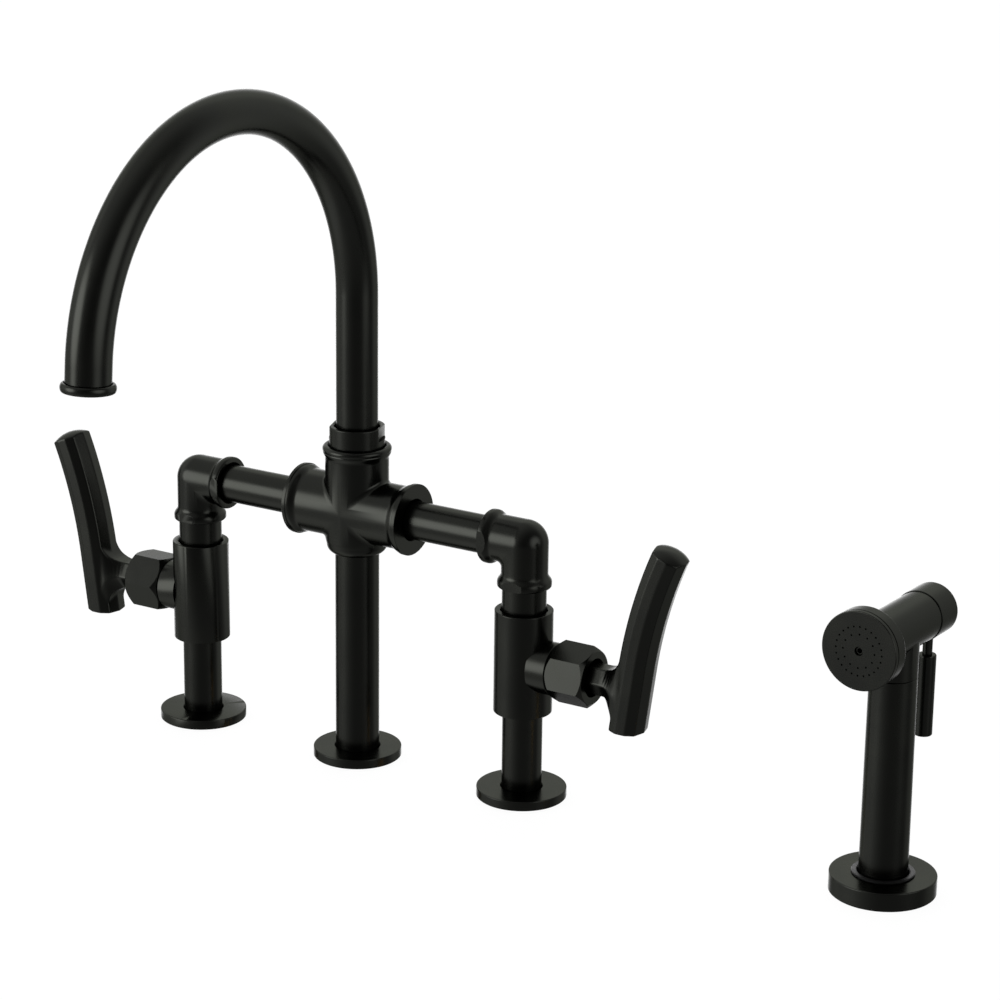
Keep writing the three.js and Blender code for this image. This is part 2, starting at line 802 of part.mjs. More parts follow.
const onPost = (geometry) => geometry;
addMounting("centre", postRadius, onPost);
add("centre_post", tube(postRadius, postRadius - tubeWall, 0, crossFoot + postSeat), blackMetal);
add("cross_body", crossBody(), blackMetal);
add("diverter_valve", tube(waterBore - fit, hosePort, bridgeHeight, socketFloor), brass);
add("spout_nut", spoutNut(), blackMetal);
add("spout_retainer", spoutRing(spoutNutRadius, retainerLow, retainerLow + retainerHeight), brass);
add("spout_seal", spoutRing(spoutNutBore + sealDepth - fit, sealLow + fit, sealLow + sealHeight - fit), rubber);
add("spout_tube", spoutTube(), blackMetal);
add("spout_lip", atOutlet(spoutLip()), blackMetal);
add("aerator", atOutlet(aerator()), plastic);

// ---- Sprayer holder -----------------------------------------------------------------------

function atSprayer(geometry) {
  return moved(geometry.clone().rotateZ(radians(sprayerTurn)), sprayerSide, -sprayerForward, 0);
}

function holderFlange() {
  const step = holderFlangeHeight - 1.5;
  const recess = holderGasketRadius + fit;
  const recessTop = gasketHeight + fit;
  return turned([
    [holderRadius + fit, recessTop],
    [holderRadius + fit, step],
    [holderBore, step],
    [holderBore, holderFlangeHeight],
    [holderFlangeRadius - flangeEdge, holderFlangeHeight],
    [holderFlangeRadius, holderFlangeHeight - flangeEdge],
    [holderFlangeRadius, 0],
    [recess, 0],
    [recess, recessTop],
    [holderRadius + fit, recessTop],
  ]);
}

function sprayGuide() {
  const rimLow = holderFlangeHeight + fit;
  const outside = holderBore - fit;
  return turned([
    [guideLipBore, -guideDrop],
    [outside, -guideDrop],
    [outside, rimLow],
    [guideRimRadius, rimLow],
    [guideRimRadius - 0.3, rimLow + guideRim],
    [guideBore + 0.5, rimLow + guideRim],
    [guideBore, rimLow + guideRim - 0.5],
    [guideBore, guideLip - guideDrop],
    [guideLipBore, guideLip - guideDrop],
    [guideLipBore, -guideDrop],
  ]);
}

const holderTop = holderFlangeHeight - 1.5 - fit;
const holderNutTop = -worktop - washerHeight - fit;
add("spray_flange", atSprayer(holderFlange()), blackMetal);
add("spray_gasket", atSprayer(tube(holderGasketRadius, holderRadius + fit, 0, gasketHeight)), rubber);
add("spray_holder", atSprayer(tube(holderRadius, holderBore, -holderDrop, holderTop)), brass);
add("spray_guide", atSprayer(sprayGuide()), plastic);
add(
  "spray_washer",
  atSprayer(tube(holderWasherRadius, holderRadius + fit, -worktop - washerHeight, -worktop)),
  steel,
);
add("spray_lock_nut", atSprayer(lockNut(holderNutFlats, holderRadius + fit, holderNutTop)), brass);

// ---- Sprayer ------------------------------------------------------------------------------

function hoseCoupling() {
  const low = guideLip - guideDrop + fit;
  const shoulder = sprayBottom - fit;
  const spigot = sprayHandleBore - fit;
  return turned([
    [couplingBore, low],
    [couplingRadius, low],
    [couplingRadius, shoulder],
    [spigot, shoulder],
    [spigot, sprayBottom + couplingSpigot],
    [couplingBore, sprayBottom + couplingSpigot],
    [couplingBore, low],
  ]);
}

function sprayHandle() {
  return turned([
    [sprayHandleBore, sprayBottom],
    [sprayBottomRadius - 0.6, sprayBottom],
    [sprayBottomRadius, sprayBottom + 0.6],
    [sprayNeckRadius, spraySeam],
    [sprayHandleBore, spraySeam],
    [sprayHandleBore, sprayBottom],
  ]);
}

// Pieces of the head are made about Z, with +Z the way that the water leaves.
const inHead = (geometry) => atSprayer(moved(alongFront(geometry), 0, 0, headAxis));

function sprayHead() {
  const barrel = turned([
    [0, -headRear - capSpigot],
    [capSpigotRadius, -headRear - capSpigot],
    [capSpigotRadius, -headRear],
    [headRadius, -headRear],
    [headRadius, headFront - fit],
    [faceSpigotRadius, headFront - fit],
    [faceSpigotRadius, headFront + faceSpigot],
    [0, headFront + faceSpigot],
  ]);
  const neckLow = spraySeam + fit / 2;
  const neck = bar(sprayNeckRadius, neckLow, headAxis);
  const spigot = bar(sprayHandleBore - fit, spraySeam - headSpigot, headAxis);
  const water = bar(couplingBore, spraySeam - headSpigot - cutPast, headAxis);
  return cut(
    join(inHead(barrel), atSprayer(neck), atSprayer(spigot)),
    inHead(bar(chamberRadius, -headRear - capSpigot - cutPast, 0)),
    inHead(bar(couplingBore, -cutPast, headFront + faceSpigot + cutPast)),
    atSprayer(water),
  );
}

function sprayRim() {
  const back = headFront;
  const front = back + rimDepth;
  return turned([
    [faceSpigotRadius + fit, back],
    [rimRadius - 0.5, back],
    [rimRadius, back + 0.5],
    [rimRadius, front],
    [rimRadius - rimWall, front],
    [rimRadius - rimWall, back + rimWall],
    [faceSpigotRadius + fit, back + rimWall],
    [faceSpigotRadius + fit, back],
  ]);
}

// The corners of a regular polygon in a flat outline.
function polygon(radius, x, y, corners) {
  return Array.from({ length: corners }, (_, i) => {
    const angle = (2 * Math.PI * i) / corners;
    return new THREE.Vector2(x + radius * Math.cos(angle), y + radius * Math.sin(angle));
  });
}

function sprayFace() {
  const plate = new THREE.Shape(polygon(rimRadius, 0, 0, round));
  plate.holes.push(new THREE.Path(polygon(faceScrewRadius + fit, 0, 0, roundSmall)));
  const rings = [
    [innerHoleCircle, innerHoleCount],
    [outerHoleCircle, outerHoleCount],
  ];
  for (const [ring, count] of rings) {
    for (const centre of polygon(ring, 0, 0, count)) {
      plate.holes.push(new THREE.Path(polygon(sprayHoleRadius, centre.x, centre.y, 4)));
    }
  }
  const options = { depth: facePlate, bevelEnabled: false };
  return new THREE.ExtrudeGeometry(plate, options).translate(0, 0, headFront + rimDepth + fit);
}

function faceScrew() {
  const low = headFront + faceSpigot + fit;
  const high = headFront + rimDepth + fit + facePlate - faceScrewSunk;
  return bar(faceScrewRadius, low, high, 0.2, roundSmall);
}

const capEnd = headRear + fit + capLength;
const pivotHeight = headAxis + pivotRise;

function rearCap() {
  const start = headRear + fit;
  const cup = turned([
    [capSpigotRadius + fit, -start],
    [capRadius, -start],
    [capRadius, 0.8 - capEnd],
    [capRadius - 0.8, -capEnd],
    [0, -capEnd],
    [0, capWall - capEnd],
    [capSpigotRadius + fit, capWall - capEnd],
    [capSpigotRadius + fit, -start],
  ]);
  const swing = (pivotRise + capRadius) * Math.tan(radians(triggerSwing));
  const halfSlot = triggerNeckRadius + 2 * fit;
  const slot = box(
    -halfSlot,
    halfSlot,
    triggerBehind - halfSlot - swing,
    capEnd - capWall,
    headAxis - capRadius - cutPast,
    headAxis,
  );
  return cut(inHead(cup), atSprayer(slot));
}

const atTrigger = (geometry) => atSprayer(moved(geometry, 0, triggerBehind, 0));
const atPivot = (geometry) => moved(alongX(geometry), 0, 0, pivotHeight);

function trigger() {
  const rod = turned(
    [
      [0, triggerBottom],
      [triggerRadius - 0.5, triggerBottom],
      [triggerRadius, triggerBottom + 0.5],
      [triggerRadius, triggerTop - 0.5],
      [triggerRadius - 0.5, triggerTop],
      [triggerNeckRadius, triggerTop],
      [triggerNeckRadius, pivotHeight],
      [0, pivotHeight],
    ],
    roundSmall,
  );
  const eye = bar(eyeRadius, -eyeHalfWidth, eyeHalfWidth, 0.3, roundSmall);
  const eyeEnd = eyeHalfWidth + cutPast;
  return cut(join(rod, atPivot(eye)), atPivot(bar(pinRadius + fit, -eyeEnd, eyeEnd, 0, roundSmall)));
}

function triggerPin() {
  const half = Math.sqrt(capSpigotRadius ** 2 - pivotRise ** 2) - fit;
  return atPivot(bar(pinRadius, -half, half, 0.2, roundSmall));
}

function sprayPlunger() {
  const back = triggerBehind - triggerNeckRadius - fit;
  const front = back - plungerLength;
  return turned(
    [
      [0, -back],
      [plungerTip, -back],
      [plungerRadius, plungerTaper - back],
      [plungerRadius, -front - pistonLength],
      [chamberRadius - fit, -front - pistonLength],
      [chamberRadius - fit, -front],
      [0, -front],
    ],
    roundSmall,
  );
}

add("hose_coupling", atSprayer(hoseCoupling()), brass);
add("spray_handle", atSprayer(sprayHandle()), blackMetal);
add("spray_head", sprayHead(), blackMetal);
add("spray_rim", inHead(sprayRim()), blackMetal);
add("spray_face", inHead(sprayFace()), blackMetal);
add("spray_face_screw", inHead(faceScrew()), blackMetal);
add("spray_rear_cap", rearCap(), blackMetal);
add("spray_plunger", inHead(sprayPlunger()), brass);
add("trigger_pin", atTrigger(triggerPin()), steel);
add("trigger_lever", atTrigger(trigger()), blackMetal);

export default faucet;
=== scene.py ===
"""Looks of a bridge kitchen faucet with a side sprayer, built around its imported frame.

Sizes are in millimetres and are turned to metres where a mesh is made. +X runs along the
bridge to the sprayer, -Y is the front, and +Z is up from the worktop.
"""

import json
import logging
import math
from dataclasses import dataclass
from enum import Enum

import bpy
from mathutils import Matrix, Vector


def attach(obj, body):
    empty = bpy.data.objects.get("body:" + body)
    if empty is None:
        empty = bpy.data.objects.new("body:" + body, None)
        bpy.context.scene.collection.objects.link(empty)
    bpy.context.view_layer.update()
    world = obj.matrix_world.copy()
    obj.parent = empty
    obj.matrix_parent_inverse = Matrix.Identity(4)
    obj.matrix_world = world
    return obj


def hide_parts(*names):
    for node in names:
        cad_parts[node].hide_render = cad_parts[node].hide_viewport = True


Outline = list[tuple[float, float]]
Piece = bpy.types.Object

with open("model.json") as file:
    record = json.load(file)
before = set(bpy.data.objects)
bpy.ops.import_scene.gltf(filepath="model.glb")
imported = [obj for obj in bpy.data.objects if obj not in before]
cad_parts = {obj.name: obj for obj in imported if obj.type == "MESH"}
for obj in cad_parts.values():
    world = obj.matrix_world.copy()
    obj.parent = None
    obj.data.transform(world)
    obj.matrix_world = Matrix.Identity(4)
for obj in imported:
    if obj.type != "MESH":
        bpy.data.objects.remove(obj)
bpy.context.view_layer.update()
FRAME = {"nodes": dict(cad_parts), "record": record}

MM = 0.001
SIDES = 72

log = logging.getLogger("faucet")


# ---- Choices ------------------------------------------------------------------------


class Shaping(Enum):
    """What a second solid does to the first."""

    JOIN = "UNION"
    CUT = "DIFFERENCE"
    KEEP = "INTERSECT"


class Slot(Enum):
    """The material slots of the record."""

    BLACK = "black_metal"
    BRASS = "brass"
    STEEL = "steel"
    RUBBER = "rubber"
    PLASTIC = "plastic"


class Leg(Enum):
    """The two legs of the bridge, as the way along X from the centre post."""

    LEFT = -1
    RIGHT = 1

    @property
    def label(self) -> str:
        """The name that this leg's pieces start with."""
        return self.name.lower()


# ---- Working a mesh -----------------------------------------------------------------


def pick(piece: Piece) -> Piece:
    """Select one object alone and make it the active one."""
    if bpy.context.object and bpy.context.object.mode != "OBJECT":
        bpy.ops.object.mode_set(mode="OBJECT")
    bpy.ops.object.select_all(action="DESELECT")
    piece.select_set(True)
    bpy.context.view_layer.objects.active = piece
    return piece


def edit(piece: Piece, select: str = "SELECT") -> None:
    """Open a piece in edit mode with everything, or nothing, selected.

    Args:
        piece: The object to open.
        select: SELECT or DESELECT.
    """
    pick(piece)
    bpy.ops.object.mode_set(mode="EDIT")
    bpy.ops.mesh.select_mode(type="VERT")
    bpy.ops.mesh.select_all(action=select)


def close(piece: Piece) -> Piece:
    """Merge doubles, point all faces outwards and leave edit mode."""
    bpy.ops.mesh.select_all(action="SELECT")
    bpy.ops.mesh.remove_doubles(threshold=1e-6)
    bpy.ops.mesh.normals_make_consistent(inside=False)
    bpy.ops.object.mode_set(mode="OBJECT")
    return piece


def select_edges(piece: Piece, wanted) -> int:
    """Select the edges whose two ends satisfy a test, with the piece left in edit mode.

    Args:
        piece: The piece to search.
        wanted: A function of the two end points of an edge, in millimetres.

    Returns:
        How many edges are selected.
    """
    edit(piece, "DESELECT")
    bpy.ops.mesh.select_mode(type="EDGE")
    bpy.ops.object.mode_set(mode="OBJECT")
    mesh = piece.data
    count = 0
    for edge in mesh.edges:
        ends = [mesh.vertices[i].co / MM for i in edge.vertices]
        edge.select = wanted(*ends)
        count += edge.select
    bpy.ops.object.mode_set(mode="EDIT")
    return count


def selected(piece: Piece) -> list[bpy.types.MeshVertex]:
    """The selected vertices of a piece that is in edit mode."""
    piece.update_from_editmode()
    return [vertex for vertex in piece.data.vertices if vertex.select]


def select_ring(piece: Piece, numbers: list[int]) -> None:
    """Select the given vertices alone, with the edges between them, and stay in edit mode."""
    bpy.ops.mesh.select_mode(type="VERT")
    bpy.ops.mesh.select_all(action="DESELECT")
    bpy.ops.object.mode_set(mode="OBJECT")
    for number in numbers:
        piece.data.vertices[number].select = True
    bpy.ops.object.mode_set(mode="EDIT")


def turned(name: str, outline: Outline, sides: int = SIDES) -> Piece:
    """Turn an outline about the Z axis by drawing a ring out from point to point.

    Args:
        name: Name of the new piece.
        outline: Points of (radius, height). It starts and ends on the axis, or ends
            where it starts, or stays open at its start.
        sides: Number of sides of the round.

    Returns:
        The new piece.
    """
    starts_on_axis = outline[0][0] == 0
    ends_on_axis = outline[-1][0] == 0
    points = outline[int(starts_on_axis) : len(outline) - int(ends_on_axis)]
    radius, height = points[0]
    bpy.ops.mesh.primitive_circle_add(
        vertices=sides,
        radius=radius * MM,
        fill_type="NGON" if starts_on_axis else "NOTHING",
        location=(0, 0, 0),
    )
    piece = bpy.context.object
    piece.name = name
    edit(piece)
    bpy.ops.mesh.select_mode(type="EDGE")
    bpy.ops.transform.translate(value=(0, 0, height * MM))
    for next_radius, next_height in points[1:]:
        rise = {"value": (0, 0, (next_height - height) * MM)}
        bpy.ops.mesh.extrude_edges_move(TRANSFORM_OT_translate=rise)
        share = next_radius / radius
        bpy.ops.transform.resize(value=(share, share, 1), center_override=(0, 0, 0))
        radius, height = next_radius, next_height
    if ends_on_axis:
        bpy.ops.mesh.edge_face_add()
    return close(piece)


def arc(centre: tuple[float, float], radius: float, start: float, end: float, steps: int) -> Outline:
    """Points along an arc in an outline.

    Args:
        centre: Radius and height of the arc's centre.
        radius: Radius of the arc.
        start: First angle in degrees from the outward direction.
        end: Last angle.
        steps: Number of chords.

    Returns:
        The points of the arc.
    """
    turns = [math.radians(start + (end - start) * i / steps) for i in range(steps + 1)]
    return [(centre[0] + radius * math.cos(a), centre[1] + radius * math.sin(a)) for a in turns]


def edge_round(radius: float, height: float, size: float, up: bool, steps: int = 3) -> Outline:
    """A rounded outer edge of a face at the given height.

    Args:
        radius: Outer radius of the face.
        height: Height of the face.
        size: Radius of the rounding.
        up: True where the outline runs from the wall up onto the face.
        steps: Number of chords.

    Returns:
        The points of the rounding.
    """
    if up:
        return arc((radius - size, height - size), size, 0, 90, steps)
    return arc((radius - size, height + size), size, -90, 0, steps)


def swell(low: tuple[float, float], high: tuple[float, float], steps: int = 6) -> Outline:
    """A smooth S-shaped change of radius between two points of an outline."""
    shares = [i / steps for i in range(steps + 1)]
    return [
        (
            low[0] + (high[0] - low[0]) * (1 - math.cos(math.pi * share)) / 2,
            low[1] + (high[1] - low[1]) * share,
        )
        for share in shares
    ]


def fix_place(piece: Piece) -> Piece:
    """Move the object's place, turn and scale into its mesh."""
    pick(piece)
    bpy.ops.object.transform_apply(location=True, rotation=True, scale=True)
    return piece


def moved(piece: Piece, x: float = 0, y: float = 0, z: float = 0) -> Piece:
    """Move a piece by millimetres."""
    piece.location = Vector((x, y, z)) * MM
    return fix_place(piece)


def rotated(piece: Piece, axis: str, degrees: float) -> Piece:
    """Turn a piece about a main axis through the origin."""
    piece.rotation_euler = Matrix.Rotation(math.radians(degrees), 3, axis).to_euler()
    return fix_place(piece)


def mirrored(piece: Piece) -> Piece:
    """Mirror a piece across the middle of the bridge."""
    piece.scale = (-1, 1, 1)
    fix_place(piece)
    edit(piece)
    return close(piece)


def mirror_copy(piece: Piece) -> Piece:
    """A copy of a piece, mirrored across the middle of the bridge."""
    pick(piece)
    bpy.ops.object.duplicate()
    return mirrored(bpy.context.object)


def shape(piece: Piece, tool: Piece, how: Shaping) -> Piece:
    """Join, cut or keep with a second solid, which is used up.

    Args:
        piece: The solid that stays.
        tool: The solid that works on it.
        how: What the tool does.

    Returns:
        The piece.
    """
    pick(piece)
    modifier = piece.modifiers.new("shape", "BOOLEAN")
    modifier.operation = how.value
    modifier.solver = "EXACT"
    modifier.object = tool
    bpy.ops.object.modifier_apply(modifier=modifier.name)
    bpy.data.objects.remove(tool)
    return piece


def merged(name: str, pieces: list[Piece]) -> Piece:
    """Put several meshes into one object and weld where they meet."""
    pick(pieces[0])
    for piece in pieces:
        piece.select_set(True)
    bpy.ops.object.join()
    whole = bpy.context.object
    whole.name = name
    edit(whole)
    return close(whole)


def softened(piece: Piece, width: float, angle: float = 40, segments: int = 2) -> Piece:
    """Break the sharp edges of a piece with a small bevel."""
    pick(piece)
    modifier = piece.modifiers.new("edges", "BEVEL")
    modifier.width = width * MM
    modifier.segments = segments
    modifier.limit_method = "ANGLE"
    modifier.angle_limit = math.radians(angle)
    modifier.harden_normals = False
    bpy.ops.object.modifier_apply(modifier=modifier.name)
    return piece


def smoothed(piece: Piece, angle: float = 32) -> Piece:
    """Shade a piece smooth, apart from its sharp edges, with its flat faces kept flat."""
    pick(piece)
    bpy.ops.object.shade_smooth_by_angle(angle=math.radians(angle))
    modifier = piece.modifiers.new("flats", "WEIGHTED_NORMAL")
    modifier.keep_sharp = True
    bpy.ops.object.modifier_apply(modifier=modifier.name)
    return piece


def bisected(piece: Piece, normal: tuple[float, float, float], at: Vector = Vector()) -> Piece:
    """Cut a piece at a plane and drop what lies on the normal's side, left open.

    Args:
        piece: The piece to cut.
        normal: Direction of the side that is dropped.
        at: A point of the plane, in millimetres.

    Returns:
        The piece.
    """
    edit(piece)
    bpy.ops.mesh.bisect(plane_co=at * MM, plane_no=normal, clear_outer=True, use_fill=False)
    bpy.ops.object.mode_set(mode="OBJECT")
    return piece


# ---- Finishes -----------------------------------------------------------------------


def linear(code: str) -> tuple[float, float, float, float]:
    """Turn an sRGB hex colour to the linear values that the shaders take."""
    values = [int(code[i : i + 2], 16) / 255 for i in (1, 3, 5)]
    shades = [v / 12.92 if v <= 0.04045 else ((v + 0.055) / 1.055) ** 2.4 for v in values]
    return (shades[0], shades[1], shades[2], 1.0)


def node(tree: bpy.types.NodeTree, kind: str, settings: dict, links: dict) -> bpy.types.Node:
    """Add a shader node with its settings and links.

    Args:
        tree: The node tree.
        kind: The node's type name.
        settings: Properties by name, and input values by socket name or number.
        links: Output sockets by the input that they feed.

    Returns:
        The new node.
    """
    new = tree.nodes.new(kind)
    for key, value in settings.items():
        if isinstance(key, str) and hasattr(new, key):
            setattr(new, key, value)
        else:
            new.inputs[key].default_value = value
    for key, output in links.items():
        tree.links.new(output, new.inputs[key])
    return new


@dataclass(frozen=True)
class SatinBlack:
    """Blackened metal with a fine satin polish.

    It reads as near black with a faint warm, olive tint in its highlights. The polish
    leaves a grain of fine scratches that breaks up the edge of each highlight.
    """

    name: str = "satin_black_metal"
    colour: str = "#363733"
    darker: str = "#313230"
    edge: str = "#b0b0b0"
    roughness: tuple[float, float] = (0.22, 0.28)
    cloud_mm: float = 22.0
    grain_mm: float = 0.5
    grain_height_mm: float = 0.012

    def make(self) -> bpy.types.Material:
        """Build the material's nodes."""
        material = bpy.data.materials.new(self.name)
        material.use_nodes = True
        tree = material.node_tree
        tree.nodes.clear()
        place = node(tree, "ShaderNodeTexCoord", {}, {}).outputs["Object"]
        clouds = node(
            tree,
            "ShaderNodeTexNoise",
            {"Scale": 1 / (self.cloud_mm * MM), "Detail": 3.0, "Roughness": 0.6},
            {"Vector": place},
        )
        grain = node(
            tree,
            "ShaderNodeTexNoise",
            {"Scale": 1 / (self.grain_mm * MM), "Detail": 2.0, "Roughness": 0.5},
            {"Vector": place},
        )
        tint = node(
            tree,
            "ShaderNodeMix",
            {"data_type": "RGBA", 6: linear(self.darker), 7: linear(self.colour)},
            {0: clouds.outputs["Fac"]},
        )
        rough = node(
            tree,
            "ShaderNodeMapRange",
            {"From Min": 0.3, "From Max": 0.7, "To Min": self.roughness[0], "To Max": self.roughness[1]},
            {"Value": clouds.outputs["Fac"]},
        )
        bump = node(
            tree,
            "ShaderNodeBump",
            {"Strength": 0.25, "Distance": self.grain_height_mm * MM},
            {"Height": grain.outputs["Fac"]},
        )
        surface = node(
            tree,
            "ShaderNodeBsdfPrincipled",
            {"Metallic": 1.0, "Specular Tint": linear(self.edge)},
            {
                "Base Color": tint.outputs[2],
                "Roughness": rough.outputs[0],
                "Normal": bump.outputs["Normal"],
            },
        )
        node(tree, "ShaderNodeOutputMaterial", {}, {"Surface": surface.outputs["BSDF"]})
        return material


@dataclass(frozen=True)
class PlainFinish:
    """A finish of one colour with a mottle and a fine grain, for the hidden pieces."""

    name: str
    colour: str
    darker: str
    metallic: float
    roughness: tuple[float, float]
    cloud_mm: float
    grain_mm: float
    grain_height_mm: float
    gloss: float = 0.5

    def make(self) -> bpy.types.Material:
        """Build the material's nodes."""
        material = bpy.data.materials.new(self.name)
        material.use_nodes = True
        tree = material.node_tree
        tree.nodes.clear()
        place = node(tree, "ShaderNodeTexCoord", {}, {}).outputs["Object"]
        clouds = node(
            tree,
            "ShaderNodeTexNoise",
            {"Scale": 1 / (self.cloud_mm * MM), "Detail": 4.0, "Roughness": 0.6},
            {"Vector": place},
        )
        grain = node(
            tree,
            "ShaderNodeTexNoise",
            {"Scale": 1 / (self.grain_mm * MM), "Detail": 2.0, "Roughness": 0.5},
            {"Vector": place},
        )
        tint = node(
            tree,
            "ShaderNodeMix",
            {"data_type": "RGBA", 6: linear(self.darker), 7: linear(self.colour)},
            {0: clouds.outputs["Fac"]},
        )
        rough = node(
            tree,
            "ShaderNodeMapRange",
            {"From Min": 0.3, "From Max": 0.7, "To Min": self.roughness[0], "To Max": self.roughness[1]},
            {"Value": clouds.outputs["Fac"]},
        )
        bump = node(
            tree,
            "ShaderNodeBump",
            {"Strength": 0.4, "Distance": self.grain_height_mm * MM},
            {"Height": grain.outputs["Fac"]},
        )
        surface = node(
            tree,
            "ShaderNodeBsdfPrincipled",
            {"Metallic": self.metallic, "Specular IOR Level": self.gloss},
            {
                "Base Color": tint.outputs[2],
                "Roughness": rough.outputs[0],
                "Normal": bump.outputs["Normal"],
            },
        )
        node(tree, "ShaderNodeOutputMaterial", {}, {"Surface": surface.outputs["BSDF"]})
        return material


FINISHES = {
    Slot.BLACK: SatinBlack(),
    # Free-cutting brass, turned: a pale yellow metal, dulled where it was handled.
    Slot.BRASS: PlainFinish("turned_brass", "#c9a55c", "#a98544", 1.0, (0.28, 0.42), 9, 0.4, 0.01),
    # Zinc-plated steel: cool grey with a faint bloom.
    Slot.STEEL: PlainFinish("plated_steel", "#b4b6b8", "#909396", 1.0, (0.3, 0.45), 7, 0.5, 0.01),
    # Moulded nitrile rubber: black, dull and slightly dusty.
    Slot.RUBBER: PlainFinish("nitrile_rubber", "#262626", "#1c1c1c", 0.0, (0.75, 0.9), 5, 0.3, 0.03),
    # Moulded acetal: black with a soft sheen.
    Slot.PLASTIC: PlainFinish("black_acetal", "#151515", "#101010", 0.0, (0.42, 0.55), 6, 0.3, 0.02, 0.12),
}


class Dresser:
    """Gives each piece its material, its body and its slot."""

    def __init__(self) -> None:
        """Make one material for each slot."""
        self.materials = {slot: finish.make() for slot, finish in FINISHES.items()}
        self.node_slots = {
            entry["node"]: Slot(entry["material_slot"]) for entry in FRAME["record"]["subparts"]
        }
        self.node_bodies = {
            name: body
            for body, names in FRAME["record"]["behaviour"]["bodies"].items()
            for name in names
        }
        self.replaced: set[str] = set()

    def dress(self, piece: Piece, cad_node: str, finish: Slot | None = None) -> None:
        """Let a finished piece stand for a CAD node, on its body and in its slot.

        Args:
            piece: The finished piece.
            cad_node: Name of the node that it replaces.
            finish: Its slot where that isn't the node's own.
        """
        slot = finish or self.node_slots[cad_node]
        piece.name = f"{cad_node}_made"
        piece.data.materials.clear()
        piece.data.materials.append(self.materials[slot])
        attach(piece, self.node_bodies[cad_node])
        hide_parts(cad_node)
        self.replaced.add(cad_node)
        log.info("%s: %d faces", piece.name, len(piece.data.polygons))

    def dress_rest(self) -> None:
        """Give the CAD nodes that stay their materials."""
        for name, piece in FRAME["nodes"].items():
            if name not in self.replaced:
                piece.data.materials.clear()
                piece.data.materials.append(self.materials[self.node_slots[name]])


# ---- Posts and flanges ----------------------------------------------------------------


@dataclass(frozen=True)
class Mounting:
    """A flange on the worktop, with the shank, washer and nut under it."""

    flange_radius: float = 23.2
    flange_height: float = 5.0
    flange_edge: float = 0.5
    flange_gap: float = 0.45
    gasket_recess: float = 19.3
    recess_height: float = 1.6
    shank_radius: float = 10.2
    shank_bore: float = 6.0
    shank_low: float = -55.0
    thread_pitch: float = 1.6
    thread_depth: float = 0.6
    thread_low: float = -54.0
    thread_high: float = -1.5
    washer: tuple[float, float, float] = (21.0, -22.0, -20.0)
    nut_flats: float = 32.0
    nut_low: float = -32.3
    nut_high: float = -22.3
    nut_drops: tuple[float, float] = (1.6, 1.6)

    def flange(self, post_radius: float) -> Piece:
        """The round flange about a post of the given radius."""
        bore = post_radius + self.flange_gap
        top = self.flange_height
        return smoothed(
            turned(
                "flange",
                [
                    (bore, self.recess_height),
                    (bore, top - 0.3),
                    (bore + 0.3, top),
                    *reversed(edge_round(self.flange_radius, top, self.flange_edge, True)),
                    (self.flange_radius, 0.3),
                    (self.flange_radius - 0.3, 0.0),
                    (self.gasket_recess, 0.0),
                    (self.gasket_recess, self.recess_height),
                    (bore, self.recess_height),
                ],
            )
        )

    def shank(self, spigot: float) -> Piece:
        """The threaded shank, with a plain spigot that stands inside the post."""
        crests: Outline = []
        height = self.thread_low
        while height < self.thread_high:
            crests.append((self.shank_radius - self.thread_depth, height))
            crests.append((self.shank_radius, height + self.thread_pitch / 2))
            height += self.thread_pitch
        outline = [
            (self.shank_bore, self.shank_low),
            (self.shank_radius - self.thread_depth, self.shank_low),
            *crests,
            (self.shank_radius - self.thread_depth, self.thread_high + self.thread_pitch / 2),
            (spigot, -0.3),
            (spigot, 14.0),
            (self.shank_bore, 14.0),
            (self.shank_bore, self.shank_low),
        ]
        return smoothed(turned("shank", outline, 48))

    def washer_ring(self, outer: float, inner: float, low: float, high: float) -> Piece:
        """A flat washer with slightly rounded edges."""
        outline = [
            (inner, low),
            (outer - 0.3, low),
            (outer, low + 0.3),
            (outer, high - 0.3),
            (outer - 0.3, high),
            (inner, high),
            (inner, low),
        ]
        return smoothed(turned("washer", outline))

    def lock_nut(self, flats: float, bore: float) -> Piece:
        """A hexagon nut with chamfered corners."""
        return hexagon_nut("lock_nut", flats, self.nut_low, self.nut_high, self.nut_drops, bore)


def hexagon_nut(
    name: str, flats: float, low: float, high: float, drops: tuple[float, float], bore: float
) -> Piece:
    """A hexagon nut about Z, with chamfered corners and a round bore.

    Args:
        name: Name of the new piece.
        flats: Distance across the flats.
        low: Height of the lower face.
        high: Height of the upper face.
        drops: Heights of the lower and upper chamfers at the corners.
        bore: Radius of the bore, or 0 for none.

    Returns:
        The new piece, with corners at the front and back.
    """
    corner = flats / math.sqrt(3)
    bpy.ops.mesh.primitive_cylinder_add(
        vertices=6, radius=corner * MM, depth=(high - low) * MM, location=(0, 0, (low + high) / 2 * MM)
    )
    nut = fix_place(bpy.context.object)
    nut.name = name
    rim = flats / 2 - 0.35
    rounding = turned(
        "rounding",
        [
            (0, low),
            (rim, low),
            (corner + 0.1, low + drops[0]),
            (corner + 0.1, high - drops[1]),
            (rim, high),
            (0, high),
        ],
        96,
    )
    shape(nut, rounding, Shaping.KEEP)
    if bore:
        shape(nut, turned("bore", [(0, low - 1), (bore, low - 1), (bore, high + 1), (0, high + 1)], 64), Shaping.CUT)
    return smoothed(nut, 25)


# ---- Legs, valves and elbows ------------------------------------------------------------


